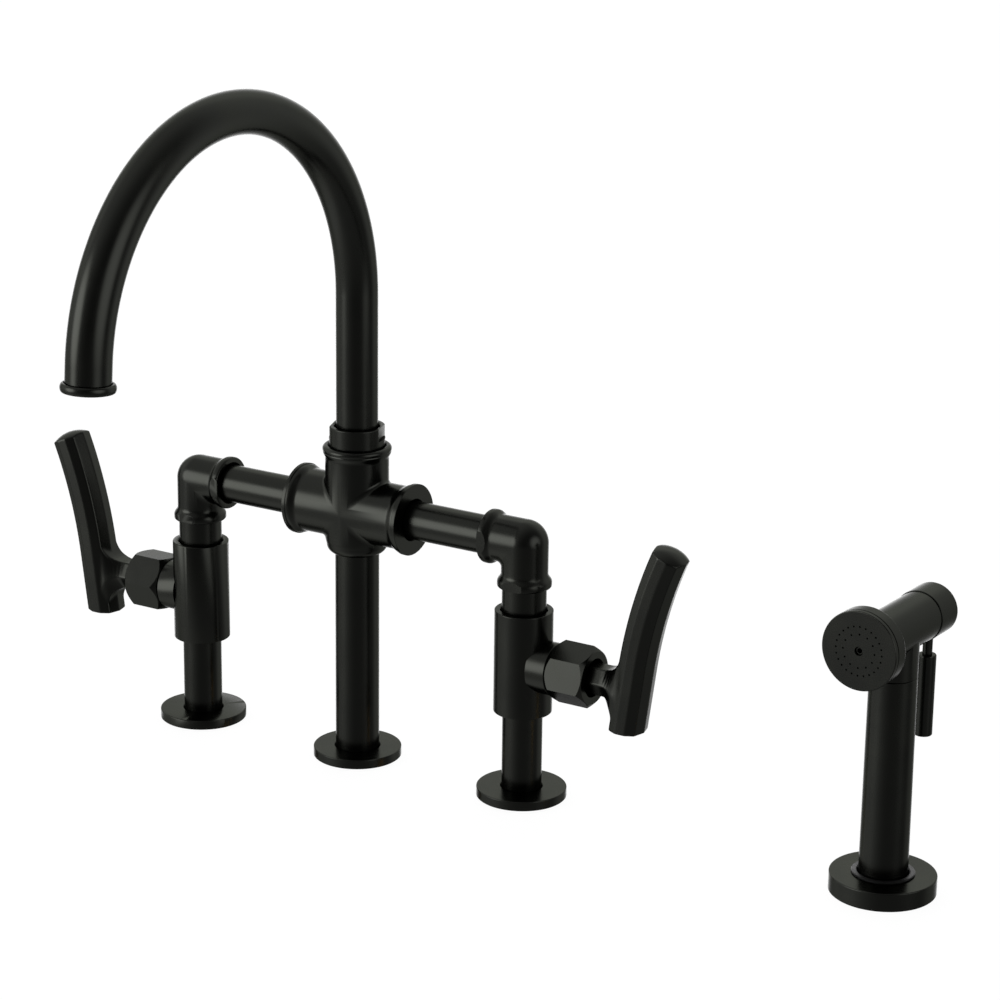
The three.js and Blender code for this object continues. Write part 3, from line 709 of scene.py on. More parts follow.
@dataclass(frozen=True)
class LegColumn:
    """One leg of the bridge: tube, valve body, riser and elbow."""

    spacing: float = 101.6
    tube_radius: float = 10.3
    tube_bore: float = 8.2
    sleeve_radius: float = 15.0
    sleeve_low: float = 46.1
    sleeve_high: float = 100.4
    sleeve_edge: float = 0.5
    mouth_radius: float = 11.95
    mouth_floor: float = 94.0
    riser_radius: float = 11.35
    riser_low: float = 86.3
    hub_height: float = 72.0
    boss_radius: float = 13.5
    boss_reach: float = 20.0
    bridge_height: float = 135.6
    elbow_radius: float = 11.95
    elbow_drop: float = 22.8
    elbow_side: float = 21.0
    collar_radius: float = 13.9
    collar_length: float = 6.8
    collar_flats: float = 12.7
    mouth: float = 10.95
    mouth_depth: float = 3.5
    bridge_tube_radius: float = 9.9
    bridge_tube_start: float = 22.0
    bridge_tube_end: float = 91.6

    def leg_tube(self) -> Piece:
        """The tube between flange and valve body."""
        outline = [
            (self.tube_bore, 0.0),
            (self.tube_radius, 0.0),
            (self.tube_radius, 57.0),
            (self.tube_bore, 57.0),
            (self.tube_bore, 0.0),
        ]
        return smoothed(turned("leg_tube", outline))

    def valve_body(self) -> Piece:
        """The wide sleeve with the boss that carries the lever's nut."""
        low, high, edge = self.sleeve_low, self.sleeve_high, self.sleeve_edge
        sleeve = turned(
            "sleeve",
            [
                (self.tube_radius + 0.3, low + 5),
                (self.tube_radius + 0.3, low + 0.3),
                (self.tube_radius + 0.6, low),
                *edge_round(self.sleeve_radius, low, edge, False),
                *edge_round(self.sleeve_radius, high, edge, True),
                (self.mouth_radius + 0.4, high),
                (self.mouth_radius, high - 0.4),
                (self.mouth_radius, self.mouth_floor),
                (8.5, self.mouth_floor),
                (8.5, low + 5),
                (self.tube_radius + 0.3, low + 5),
            ],
            96,
        )
        boss = turned(
            "boss",
            [
                (0, 9.0),
                (self.boss_radius, 9.0),
                *edge_round(self.boss_radius, self.boss_reach, 0.5, True),
                (12.0, self.boss_reach),
                (12.0, self.boss_reach + 12.8),
                (0, self.boss_reach + 12.8),
            ],
            96,
        )
        rotated(boss, "Y", 90)
        moved(boss, z=self.hub_height)
        return smoothed(shape(sleeve, boss, Shaping.JOIN))

    def riser(self) -> Piece:
        """The short tube between valve body and elbow."""
        face = self.bridge_height - self.elbow_drop
        outline = [
            (7.5, self.riser_low),
            (self.riser_radius, self.riser_low),
            (self.riser_radius, face - 0.2),
            (9.2, face - 0.2),
            (9.2, face + 8.0),
            (7.5, face + 8.0),
            (7.5, self.riser_low),
        ]
        return smoothed(turned("riser", outline))

    def arm(self, reach: float, mouth: float, tube: float) -> Piece:
        """One arm of the elbow along +Z, open at the corner, with its rolled collar.

        Args:
            reach: Corner to the arm's end face.
            mouth: Radius of the open ring in the face.
            tube: Radius of the hole for the tube.

        Returns:
            The arm, open at its start.
        """
        top = reach - 0.9
        return turned(
            "arm",
            [
                (self.elbow_radius, 0.0),
                (self.elbow_radius, reach - self.collar_length - 1.0),
                *swell((self.elbow_radius, reach - self.collar_length), (self.collar_radius, reach - 2.6)),
                (self.collar_radius, reach - 1.9),
                *arc((self.collar_radius - 1.0, top - 0.1), 1.0, 0, 90, 4),
                (mouth + 0.3, reach),
                (mouth, reach - 0.3),
                (mouth, reach - self.mouth_depth),
                (tube, reach - self.mouth_depth),
                (tube, reach - 9.0),
                (0, reach - 9.0),
            ],
        )

    def elbow(self) -> Piece:
        """The elbow: two mitred arms and the round outer corner between them."""
        down = rotated(self.arm(self.elbow_drop, self.riser_radius + 0.2, 9.5), "X", 180)
        inward = rotated(self.arm(self.elbow_side, self.mouth, self.bridge_tube_radius + 0.2), "Y", -90)
        bisected(down, (-1, 0, 1))
        bisected(inward, (1, 0, -1))
        select_edges(
            down,
            lambda a, b: max(abs(a.z), abs(b.z)) < 0.01
            and min(a.x, b.x) > -0.01
            and min(a.xy.length, b.xy.length) > self.elbow_radius - 0.1,
        )
        bpy.ops.mesh.spin(
            steps=18, angle=math.radians(90), center=(0, 0, 0), axis=(0, 1, 0)
        )
        bpy.ops.object.mode_set(mode="OBJECT")
        elbow = merged("elbow", [down, inward])
        corner = self.elbow_radius
        count = select_edges(
            elbow,
            lambda a, b: abs(a.x - a.z) < 0.02
            and abs(b.x - b.z) < 0.02
            and max(abs(a.y), abs(b.y)) < 0.9 * corner
            and max(a.x, b.x) < -0.5,
        )
        log.info("elbow valley: %d edges", count)
        bpy.ops.mesh.bevel(offset=2.6 * MM, segments=5, clamp_overlap=False)
        close(elbow)
        wide = 20
        for side in (-1, 1):
            for low, high in (((-wide, 0, -wide), (wide, 0, -self.elbow_drop + self.collar_length)),):
                block = flat_block(
                    (low[0], side * self.collar_flats, -self.elbow_drop - 1),
                    (high[0], side * wide, high[2]),
                )
                shape(elbow, block, Shaping.CUT)
            block = flat_block(
                (-self.elbow_side - 1, side * self.collar_flats, -wide),
                (-self.elbow_side + self.collar_length, side * wide, wide),
            )
            shape(elbow, block, Shaping.CUT)
        smoothed(elbow, 28)
        return moved(elbow, self.spacing, 0, self.bridge_height)

    def bridge_tube(self) -> Piece:
        """The tube between cross body and elbow."""
        tube = turned(
            "bridge_tube",
            [
                (7.9, self.bridge_tube_start),
                (self.bridge_tube_radius, self.bridge_tube_start),
                (self.bridge_tube_radius, self.bridge_tube_end),
                (7.9, self.bridge_tube_end),
                (7.9, self.bridge_tube_start),
            ],
        )
        rotated(tube, "Y", 90)
        return smoothed(moved(tube, z=self.bridge_height))


def flat_block(low: tuple[float, float, float], high: tuple[float, float, float]) -> Piece:
    """A rectangular cutting block between two corners, in millimetres."""
    first, last = Vector(low) * MM, Vector(high) * MM
    bpy.ops.mesh.primitive_cube_add(size=1, location=(first + last) / 2)
    block = bpy.context.object
    block.scale = [abs(v) for v in last - first]
    return fix_place(block)


# ---- Handles --------------------------------------------------------------------------


@dataclass(frozen=True)
class Flare:
    """How one pair of the neck's six edges runs out into the lever's bar."""

    reach: float
    rise: float
    widening: float


@dataclass(frozen=True)
class Handle:
    """One lever with the hexagonal bonnet nut that it turns in."""

    spacing: float = 101.6
    hub_height: float = 72.0
    nut_flats: float = 27.8
    nut_start: float = 20.3
    nut_length: float = 21.5
    nut_drops: tuple[float, float] = (3.0, 2.4)
    nut_mouth: float = 9.7
    nut_mouth_depth: float = 5.0
    reach: float = 66.2
    forward: float = 3.0
    tilt: float = 7.8
    foot: float = 21.9
    straight: float = 11.7
    bend: float = 238.0
    curved: float = 63.6
    crown: float = 3.2
    width: float = 9.1
    depth: float = 9.88
    shoulder_push: float = 1.208
    neck_start: float = 36.3
    neck_radius: float = 8.3
    fillet: float = 10.0
    flare_steps: int = 10
    flares: tuple[Flare, ...] = (
        Flare(reach=13.2, rise=14.0, widening=0.69),
        Flare(reach=11.0, rise=-10.0, widening=0.0),
        Flare(reach=7.8, rise=-9.5, widening=0.69),
    )
    shoulder: float = 7.4
    voxel: float = 0.42

    def bonnet_nut(self, turn: float) -> Piece:
        """The hexagonal bonnet nut, turned tight by its own angle.

        Args:
            turn: Angle of a corner from straight up, towards the front, in degrees.

        Returns:
            The nut on the right leg.
        """
        end = self.nut_start + self.nut_length
        nut = hexagon_nut("bonnet_nut", self.nut_flats, self.nut_start, end, self.nut_drops, 0)
        mouth = turned(
            "mouth",
            [
                (0, end - self.nut_mouth_depth),
                (self.nut_mouth, end - self.nut_mouth_depth),
                (self.nut_mouth, end - 0.4),
                (self.nut_mouth + 0.8, end + 0.4),
                (0, end + 0.4),
            ],
            64,
        )
        shape(nut, mouth, Shaping.CUT)
        rotated(nut, "Z", 90 + turn)
        rotated(nut, "Y", 90)
        moved(nut, self.spacing, 0, self.hub_height)
        return smoothed(nut, 25)

    def bar(self) -> Piece:
        """The ten-sided lever bar, drawn up from its foot and round its curve."""
        tilt = math.radians(self.tilt)
        tail = self.foot + self.width
        start = Vector((-tail * math.sin(tilt), 0, -tail * math.cos(tilt))) * MM
        bpy.ops.mesh.primitive_circle_add(
            vertices=10, radius=MM, fill_type="NGON", location=(0, 0, 0), rotation=(0, 0, math.pi / 2)
        )
        bar = fix_place(bpy.context.object)
        bar.name = "bar"
        edit(bar)
        bpy.ops.transform.resize(value=(self.width, self.depth, 1), center_override=(0, 0, 0))
        select_edges(bar, lambda a, b: False)
        bpy.ops.mesh.select_mode(type="VERT")
        bpy.ops.object.mode_set(mode="OBJECT")
        for vertex in bar.data.vertices:
            vertex.select = 0.4 < abs(vertex.co.y) / (self.depth * MM) < 0.8
        bpy.ops.object.mode_set(mode="EDIT")
        bpy.ops.transform.resize(value=(1, self.shoulder_push, 1), center_override=(0, 0, 0))
        bpy.ops.object.mode_set(mode="OBJECT")
        bar.rotation_euler = (0, tilt, 0)
        bar.location = start
        fix_place(bar)

        edit(bar)
        bpy.ops.mesh.select_mode(type="EDGE")
        along = (tail + self.straight) * MM
        rise = {"value": (along * math.sin(tilt), 0, along * math.cos(tilt))}
        bpy.ops.mesh.extrude_edges_move(TRANSFORM_OT_translate=rise)
        corner = Vector((math.sin(tilt), 0, math.cos(tilt))) * self.straight
        centre = corner + Vector((math.cos(tilt), 0, -math.sin(tilt))) * self.bend
        turn = self.curved / self.bend
        bpy.ops.mesh.spin(steps=16, angle=turn, center=centre * MM, axis=(0, -1, 0))
        heading = tilt + turn
        way = Vector((math.sin(heading), 0, math.cos(heading)))
        rim = centre - Vector((math.cos(heading), 0, -math.sin(heading))) * self.bend
        rise = {"value": way * ((self.crown + 1) * MM)}
        bpy.ops.mesh.extrude_edges_move(TRANSFORM_OT_translate=rise)
        bpy.ops.mesh.edge_face_add()
        close(bar)
        shape(bar, self.dome(rim, heading), Shaping.KEEP)
        foot = flat_block((0, -40, -60), (2 * self.reach, 40, -self.foot))
        return shape(moved(bar, self.reach, -self.forward, 0), foot, Shaping.CUT)

    def dome(self, rim: Vector, heading: float) -> Piece:
        """The space under the domed cap, in line with the bar's upper end.

        Args:
            rim: Middle of the cap's rim.
            heading: Lean of the bar at the rim, in radians.

        Returns:
            The solid that the bar is kept within.
        """
        wide = 3 * self.depth
        radius = (self.depth**2 + self.crown**2) / (2 * self.crown)
        start = math.degrees(math.acos(self.depth / radius))
        space = turned(
            "dome",
            [
                (0, -150),
                (wide, -150),
                (wide, 0),
                *arc((0, self.crown - radius), radius, start, 88, 12),
                (0, self.crown),
            ],
            96,
        )
        rotated(space, "Y", math.degrees(heading))
        return moved(space, rim.x, rim.y, rim.z)

    def neck(self) -> Piece:
        """The six-sided neck, which flares up and down where it runs into the bar."""
        wall = self.reach - self.shoulder
        reached = self.neck_start
        bpy.ops.mesh.primitive_circle_add(
            vertices=6,
            radius=self.neck_radius * MM,
            fill_type="NGON",
            location=(reached * MM, 0, 0),
            rotation=(0, math.pi / 2, 0),
        )
        neck = fix_place(bpy.context.object)
        neck.name = "neck"
        edit(neck)
        bpy.ops.mesh.extrude_edges_move(
            TRANSFORM_OT_translate={"value": ((wall - self.fillet - reached) * MM, 0, 0)}
        )
        turns = [math.pi / 2 * i / self.flare_steps for i in range(self.flare_steps + 1)]
        for before, after in zip(turns, turns[1:]):
            bpy.ops.mesh.extrude_edges_move(TRANSFORM_OT_translate={"value": (0, 0, 0)})
            corners = sorted(selected(neck), key=lambda vertex: -vertex.co.z)
            ring = [vertex.index for vertex in corners]
            for number, part in enumerate(self.flares):
                select_ring(neck, ring[2 * number : 2 * number + 2])
                self.spread(part, before, after)
            select_ring(neck, ring)
        bpy.ops.mesh.extrude_edges_move(TRANSFORM_OT_translate={"value": (4 * MM, 0, 0)})
        bpy.ops.mesh.edge_face_add()
        return close(neck)

    def spread(self, part: Flare, before: float, after: float) -> None:
        """Move the selected pair of the neck's corners on along its fillet.

        Args:
            part: How the pair runs out.
            before: Angle along the fillet that the pair has, in radians.
            after: Angle that it moves on to.
        """
        reached = [math.sin(turn) for turn in (before, after)]
        risen = [1 - math.cos(turn) for turn in (before, after)]
        spread = [share * share * (3 - 2 * share) for share in reached]
        way = Vector(
            (
                part.reach * (reached[1] - reached[0]),
                -self.forward * (spread[1] - spread[0]),
                part.rise * (risen[1] - risen[0]),
            )
        )
        bpy.ops.transform.translate(value=way * MM)
        wide = [1 + part.widening * share for share in spread]
        bpy.ops.transform.resize(
            value=(1, wide[1] / wide[0], 1), center_override=(0, -self.forward * spread[1] * MM, 0)
        )

    def lever(self) -> Piece:
        """The lever as one casting: bar and neck grown together, with softened edges."""
        lever = shape(self.bar(), self.neck(), Shaping.JOIN)
        lever.name = "lever"
        pick(lever)
        remesh = lever.modifiers.new("casting", "REMESH")
        remesh.mode = "VOXEL"
        remesh.voxel_size = self.voxel * MM
        bpy.ops.object.modifier_apply(modifier=remesh.name)
        group = lever.vertex_groups.new(name="junction")
        chosen = {
            vertex.index: self.junction_share(vertex.co / MM)
            for vertex in lever.data.vertices
        }
        for index, weight in chosen.items():
            if weight > 0:
                group.add([index], weight, "REPLACE")
        for name, factor, count, limited in (("polish", 0.5, 4, False), ("blend", 0.5, 16, True)):
            smooth = lever.modifiers.new(name, "SMOOTH")
            smooth.factor = factor
            smooth.iterations = count
            if limited:
                smooth.vertex_group = group.name
            bpy.ops.object.modifier_apply(modifier=smooth.name)
        moved(lever, self.spacing, 0, self.hub_height)
        return smoothed(lever, 60)

    def junction_share(self, point: Vector) -> float:
        """How strongly a point of the lever is blended, from 0 to 1."""
        lean = point.z * math.tan(math.radians(self.tilt))
        along = 1 - abs(point.x - lean - (self.reach - self.shoulder)) / 6
        return max(0.0, min(1.0, 2 * along))


# ---- Cross body and spout ---------------------------------------------------------------


@dataclass(frozen=True)
class Cross:
    """The cross body in the middle of the bridge, and the centre post under it."""

    height: float = 135.6
    radius: float = 16.5
    reach: float = 35.0
    collar_radius: float = 18.6
    collar_back: float = 18.1
    mouth: float = 10.7
    mouth_depth: float = 3.5
    tube_hole: float = 10.15
    socket_top: float = 34.6
    socket_rim: float = 17.9
    socket_mouth: float = 14.9
    foot: float = 23.1
    foot_radius: float = 15.9
    foot_edge: float = 5.0
    post_radius: float = 11.46
    post_bore: float = 9.36
    valley: float = 2.0
    valley_share: float = 0.95

    def side_arm(self) -> Piece:
        """A side arm along +Z, which flares to a thin-edged collar."""
        reach = self.reach
        return turned(
            "side_arm",
            [
                (self.radius, 0.0),
                (self.radius, reach - 7.5),
                *swell((self.radius, reach - 7.0), (self.collar_back, reach - 2.6)),
                (self.collar_back, reach - 2.2),
                (self.collar_radius - 0.2, reach - 2.0),
                (self.collar_radius, reach - 1.8),
                *edge_round(self.collar_radius, reach, 0.3, True),
                (self.mouth + 0.4, reach),
                (self.mouth, reach - 0.4),
                (self.mouth, reach - self.mouth_depth),
                (self.tube_hole, reach - self.mouth_depth),
                (self.tube_hole, reach - 13.3),
                (0, reach - 13.3),
            ],
            96,
        )

    def socket(self) -> Piece:
        """The upper socket along +Z, with its rolled rim."""
        top = self.socket_top
        rim = self.socket_rim
        return turned(
            "socket",
            [
                (self.radius, 0.0),
                (self.radius, top - 7.0),
                *swell((self.radius, top - 6.4), (rim - 0.3, top - 3.6), 4),
                *arc((rim - 1.9, top - 1.9), 1.9, -40, 90, 7),
                (self.socket_mouth + 0.4, top),
                (self.socket_mouth, top - 0.4),
                (self.socket_mouth, top - 12),
                (0, top - 12),
            ],
            96,
        )

    def foot_arm(self) -> Piece:
        """The lower arm along +Z, with its rounded end on the centre post."""
        end = self.foot
        return turned(
            "foot",
            [
                (self.radius, 0.0),
                (self.radius, end - self.foot_edge - 2.5),
                (self.foot_radius + 0.1, end - self.foot_edge - 0.6),
                *arc((self.foot_radius - self.foot_edge, end - self.foot_edge), self.foot_edge, 4, 90, 7),
                (self.post_radius + 0.15, end),
                (self.post_radius + 0.15, end - 6),
                (0, end - 6),
            ],
            96,
        )

    def body(self) -> Piece:
        """The cross body: four mitred arms, welded, with soft valleys between them."""
        arms = [
            rotated(self.mitred(self.side_arm()), "Y", 90),
            rotated(self.mitred(self.side_arm()), "Y", -90),
            self.mitred(self.socket()),
            rotated(self.mitred(self.foot_arm()), "Y", 180),
        ]
        body = merged("cross_body", arms)
        count = select_edges(
            body,
            lambda a, b: abs(abs(a.x) - abs(a.z)) < 0.02
            and abs(abs(b.x) - abs(b.z)) < 0.02
            and max(abs(a.y), abs(b.y)) < self.valley_share * self.radius
            and min(a.length, b.length) > self.radius - 0.1,
        )
        log.info("cross valleys: %d edges", count)
        bpy.ops.mesh.bevel(offset=self.valley * MM, segments=4, clamp_overlap=False)
        close(body)
        return smoothed(moved(body, z=self.height), 28)

    @staticmethod
    def mitred(arm: Piece) -> Piece:
        """Cut an arm's open end to a mitre on both sides."""
        bisected(arm, (1, 0, -1))
        return bisected(arm, (-1, 0, -1))

    def post(self) -> Piece:
        """The centre post."""
        top = self.height - self.foot + 5.8
        outline = [
            (self.post_bore, 0.0),
            (self.post_radius, 0.0),
            (self.post_radius, top),
            (self.post_bore, top),
            (self.post_bore, 0.0),
        ]
        return smoothed(turned("centre_post", outline, 96))


@dataclass(frozen=True)
class Spout:
    """The arched spout with its nut and the lip ring at its end."""

    nut_radius: float = 14.5
    nut_low: float = 152.2
    nut_top: float = 180.5
    nut_bore: float = 11.8
    flats: float = 13.0
    flat_height: float = 6.5
    flat_turn: float = 19.6
    radius: float = 10.8
    bore: float = 8.9
    low: float = 146.3
    straight: float = 249.8
    bend: float = 106.7
    sweep: float = 175.6
    drop: float = 10.8
    lip_radius: float = 12.95
    lip_behind: float = 3.0
    lip_ahead: float = 1.4
    lip_bore: float = 8.0
    lip_gap: float = 0.45

    def nut(self) -> Piece:
        """The round spout nut with its two wrench flats."""
        low, top, bore = self.nut_low, self.nut_top, self.nut_bore
        nut = turned(
            "spout_nut",
            [
                (bore, low),
                (self.nut_radius - 0.4, low),
                (self.nut_radius, low + 0.4),
                *edge_round(self.nut_radius, top, 0.6, True),
                (bore + 0.5, top),
                (bore, top - 0.5),
                (bore, low),
            ],
            96,
        )
        for side in (-1, 1):
            block = flat_block(
                (side * self.flats, -20, top - self.flat_height), (side * 20, 20, top + 1)
            )
            shape(nut, rotated(block, "Z", self.flat_turn), Shaping.CUT)
        return smoothed(nut, 28)

    def tube(self) -> Piece:
        """The spout tube: riser, arch and short straight end, with its wall turned in."""
        bpy.ops.mesh.primitive_circle_add(
            vertices=SIDES, radius=self.radius * MM, fill_type="NOTHING", location=(0, 0, self.low * MM)
        )
        tube = fix_place(bpy.context.object)
        tube.name = "spout_tube"
        edit(tube)
        bpy.ops.mesh.select_mode(type="EDGE")
        rise = {"value": (0, 0, (self.straight - self.low) * MM)}
        bpy.ops.mesh.extrude_edges_move(TRANSFORM_OT_translate=rise)
        bpy.ops.mesh.spin(
            steps=120,
            angle=math.radians(self.sweep),
            center=(0, -self.bend * MM, self.straight * MM),
            axis=(-1, 0, 0),
        )
        sweep = math.radians(self.sweep)
        way = Vector((0, -math.sin(sweep), math.cos(sweep)))
        foot = Vector((0, self.bend * (math.cos(sweep) - 1), self.straight + self.bend * math.sin(sweep)))
        bpy.ops.mesh.extrude_edges_move(TRANSFORM_OT_translate={"value": way * self.drop * MM})
        end = (foot + way * self.drop) * MM
        share = self.bore / self.radius
        bpy.ops.mesh.extrude_edges_move(TRANSFORM_OT_translate={"value": (0, 0, 0)})
        bpy.ops.transform.resize(value=(share, share, share), center_override=end)
        bpy.ops.mesh.extrude_edges_move(TRANSFORM_OT_translate={"value": -way * 12 * MM})
        bpy.ops.mesh.edge_face_add()
        select_edges(tube, lambda a, b: max(abs(a.z - self.low), abs(b.z - self.low)) < 0.01)
        bpy.ops.mesh.edge_face_add()
        close(tube)
        return smoothed(tube, 40)

    def lip(self) -> Piece:
        """The rolled lip ring round the end of the tube."""
        inner = self.radius + self.lip_gap
        middle = (self.lip_ahead - self.lip_behind) / 2
        half = (self.lip_ahead + self.lip_behind) / 2
        roll = [
            (
                inner + (self.lip_radius - inner) * math.cos(math.radians(turn)) ** 0.7,
                middle + half * math.sin(math.radians(turn)),
            )
            for turn in range(-80, 81, 10)
        ]
        ring = turned(
            "spout_lip",
            [
                (inner, -self.lip_behind),
                *roll,
                (inner - 0.6, self.lip_ahead),
                (self.lip_bore, self.lip_ahead),
                (self.lip_bore, 0.3),
                (inner, 0.3),
                (inner, -self.lip_behind),
            ],
            96,
        )
        return smoothed(self.at_end(ring), 35)

    def at_end(self, piece: Piece) -> Piece:
        """Move a piece made about Z to the end of the spout, along the water's way."""
        sweep = math.radians(self.sweep)
        rotated(piece, "X", self.sweep)
        forward = self.bend * (1 - math.cos(sweep)) + self.drop * math.sin(sweep)
        height = self.straight + self.bend * math.sin(sweep) + self.drop * math.cos(sweep)
        return moved(piece, 0, -forward, height)


# ---- Sprayer ----------------------------------------------------------------------------


@dataclass(frozen=True)
class Sprayer:
    """The side sprayer with its flange and guide ring."""

    side: float = 307.5
    forward: float = 5.7
    turn: float = -2.4
    flange_radius: float = 25.9
    flange_height: float = 9.3
    flange_bore: float = 13.8
    gasket_recess: float = 22.3
    holder_bore: float = 15.5
    guide_radius: float = 13.5
    guide_bore: float = 12.4
    guide_rim: float = 15.3
    guide_low: float = -26.0
    guide_top: float = 10.4
    handle_low: float = 4.0
    handle_low_radius: float = 11.95
    handle_top_radius: float = 11.5
    handle_bore: float = 8.5
    seam: float = 109.2
    axis: float = 131.9
    head_radius: float = 12.2
    head_front: float = 26.9
    head_rear: float = 23.0
    rim_radius: float = 19.2
    rim_depth: float = 7.0
    rim_wall: float = 2.0
    face_low: float = 34.3
    face_high: float = 36.7
    holes: tuple[tuple[float, int], ...] = ((8.1, 12), (11.8, 24))
    hole_radius: float = 0.48
    screw_radius: float = 1.9
    cap_radius: float = 12.6
    cap_end: float = 39.7
    trigger_behind: float = 34.8
    trigger_radius: float = 4.5
    trigger_low: float = 68.7
    trigger_top: float = 109.7
    trigger_neck: float = 2.4
    pivot: float = 136.9
    slot_half: float = 3.0
    slot_front: float = 27.4

    def placed(self, piece: Piece) -> Piece:
        """Turn a piece with the sprayer and move it to the sprayer's axis."""
        rotated(piece, "Z", self.turn)
        return moved(piece, self.side, -self.forward, 0)

    def in_head(self, piece: Piece) -> Piece:
        """Lay a piece made about Z along the head, with +Z to the front, and place it."""
        rotated(piece, "X", 90)
        return self.placed(moved(piece, z=self.axis))

    def flange(self) -> Piece:
        """The thick flange that the sprayer stands in."""
        top = self.flange_height
        outline = [
            (self.holder_bore, 1.6),
            (self.holder_bore, top - 1.5),
            (self.flange_bore, top - 1.5),
            (self.flange_bore, top),
            *reversed(edge_round(self.flange_radius, top, 0.6, True)),
            (self.flange_radius, 0.3),
            (self.flange_radius - 0.3, 0.0),
            (self.gasket_recess, 0.0),
            (self.gasket_recess, 1.6),
            (self.holder_bore, 1.6),
        ]
        return self.placed(smoothed(turned("spray_flange", outline, 96)))

    def guide(self) -> Piece:
        """The guide ring that the handle slides in."""
        top = self.guide_top
        outline = [
            (9.0, self.guide_low),
            (self.guide_radius, self.guide_low),
            (self.guide_radius, self.flange_height + 0.2),
            (self.guide_rim, self.flange_height + 0.2),
            (self.guide_rim, top - 0.4),
            (self.guide_rim - 0.4, top),
            (self.guide_bore + 0.6, top),
            (self.guide_bore, top - 0.6),
            (self.guide_bore, self.guide_low + 2),
            (9.0, self.guide_low + 2),
            (9.0, self.guide_low),
        ]
        return self.placed(smoothed(turned("spray_guide", outline, 96)))

    def handle(self) -> Piece:
        """The slightly tapered handle."""
        low, top = self.handle_low, self.seam
        outline = [
            (self.handle_bore, low),
            (self.handle_low_radius - 0.6, low),
            (self.handle_low_radius, low + 0.6),
            (self.handle_top_radius, top - 0.25),
            (self.handle_top_radius - 0.25, top),
            (self.handle_bore, top),
            (self.handle_bore, low),
        ]
        return self.placed(smoothed(turned("spray_handle", outline, 96)))

    def head(self) -> Piece:
        """The barrel of the head with its neck, grown together."""
        barrel = turned(
            "barrel",
            [
                (0, -self.head_rear - 3.4),
                (10.1, -self.head_rear - 3.4),
                (10.1, -self.head_rear),
                (self.head_radius - 0.25, -self.head_rear),
                (self.head_radius, -self.head_rear + 0.25),
                (self.head_radius, self.head_front - 0.2),
                (8.0, self.head_front - 0.2),
                (8.0, self.head_front + 3.2),
                (0, self.head_front + 3.2),
            ],
            96,
        )
        rotated(barrel, "X", 90)
        moved(barrel, z=self.axis)
        low = self.seam + 0.15
        neck = turned(
            "neck",
            [
                (0, self.seam - 10),
                (8.2, self.seam - 10),
                (8.2, low),
                (self.handle_top_radius - 0.25, low),
                (self.handle_top_radius, low + 0.25),
                (self.handle_top_radius, self.axis - 2),
                (0, self.axis - 2),
            ],
            96,
        )
        head = shape(barrel, neck, Shaping.JOIN)
        return self.placed(smoothed(head, 28))

    def rim(self) -> Piece:
        """The cup behind the spray face."""
        back, front = self.head_front, self.head_front + self.rim_depth
        outline = [
            (8.3, back),
            (self.rim_radius - 0.9, back),
            *arc((self.rim_radius - 0.9, back + 0.9), 0.9, -90, 0, 3)[1:],
            (self.rim_radius, front - 0.2),
            (self.rim_radius - 0.25, front),
            (self.rim_radius - self.rim_wall, front),
            (self.rim_radius - self.rim_wall, back + 2),
            (8.3, back + 2),
            (8.3, back),
        ]
        return self.in_head(smoothed(turned("spray_rim", outline, 96)))

    def face(self) -> Piece:
        """The pierced spray face."""
        face = turned(
            "spray_face",
            [
                (0, self.face_low),
                (self.rim_radius - 0.25, self.face_low),
                (self.rim_radius, self.face_low + 0.25),
                *edge_round(self.rim_radius, self.face_high, 0.5, True),
                (0, self.face_high),
            ],
            96,
        )
        drills = [self.drill(self.screw_radius + 0.3, 0, 0, 32)]
        for ring, count in self.holes:
            for i in range(count):
                turn = 2 * math.pi * i / count
                drills.append(self.drill(self.hole_radius, ring * math.sin(turn), ring * math.cos(turn), 12))
        shape(face, merged("drills", drills), Shaping.CUT)
        return self.in_head(smoothed(face, 30))

    def drill(self, radius: float, x: float, y: float, sides: int) -> Piece:
        """A cutting rod through the spray face."""
        bpy.ops.mesh.primitive_cylinder_add(
            vertices=sides,
            radius=radius * MM,
            depth=6 * MM,
            location=(x * MM, y * MM, (self.face_low + self.face_high) / 2 * MM),
        )
        return fix_place(bpy.context.object)

    def screw(self) -> Piece:
        """The sunk screw in the middle of the face, with its hexagon socket."""
        low, high = self.head_front + 3.5, self.face_high - 1.0
        screw = turned(
            "spray_face_screw",
            [
                (0, low),
                (self.screw_radius, low),
                (self.screw_radius, high - 0.2),
                (self.screw_radius - 0.2, high),
                (0, high),
            ],
            32,
        )
        socket = self.drill(1.4, 0, 0, 6)
        shape(screw, socket, Shaping.CUT)
        return self.in_head(smoothed(screw, 30))

    def rear_cap(self) -> Piece:
        """The cup at the back of the head, slotted underneath for the trigger."""
        start, end, radius = -self.head_rear - 0.3, -self.cap_end, self.cap_radius
        cup = turned(
            "spray_rear_cap",
            [
                (0, end),
                *arc((radius - 0.9, end + 0.9), 0.9, -90, 0, 4),
                (radius, start - 0.25),
                (radius - 0.25, start),
                (10.4, start),
                (10.4, end + 2),
                (0, end + 2),
            ],
            96,
        )
        rotated(cup, "X", 90)
        moved(cup, z=self.axis)
        slot = flat_block(
            (-self.slot_half, self.slot_front, self.axis - 20),
            (self.slot_half, self.cap_end - 2, self.axis),
        )
        shape(cup, slot, Shaping.CUT)
        return self.placed(smoothed(cup, 28))

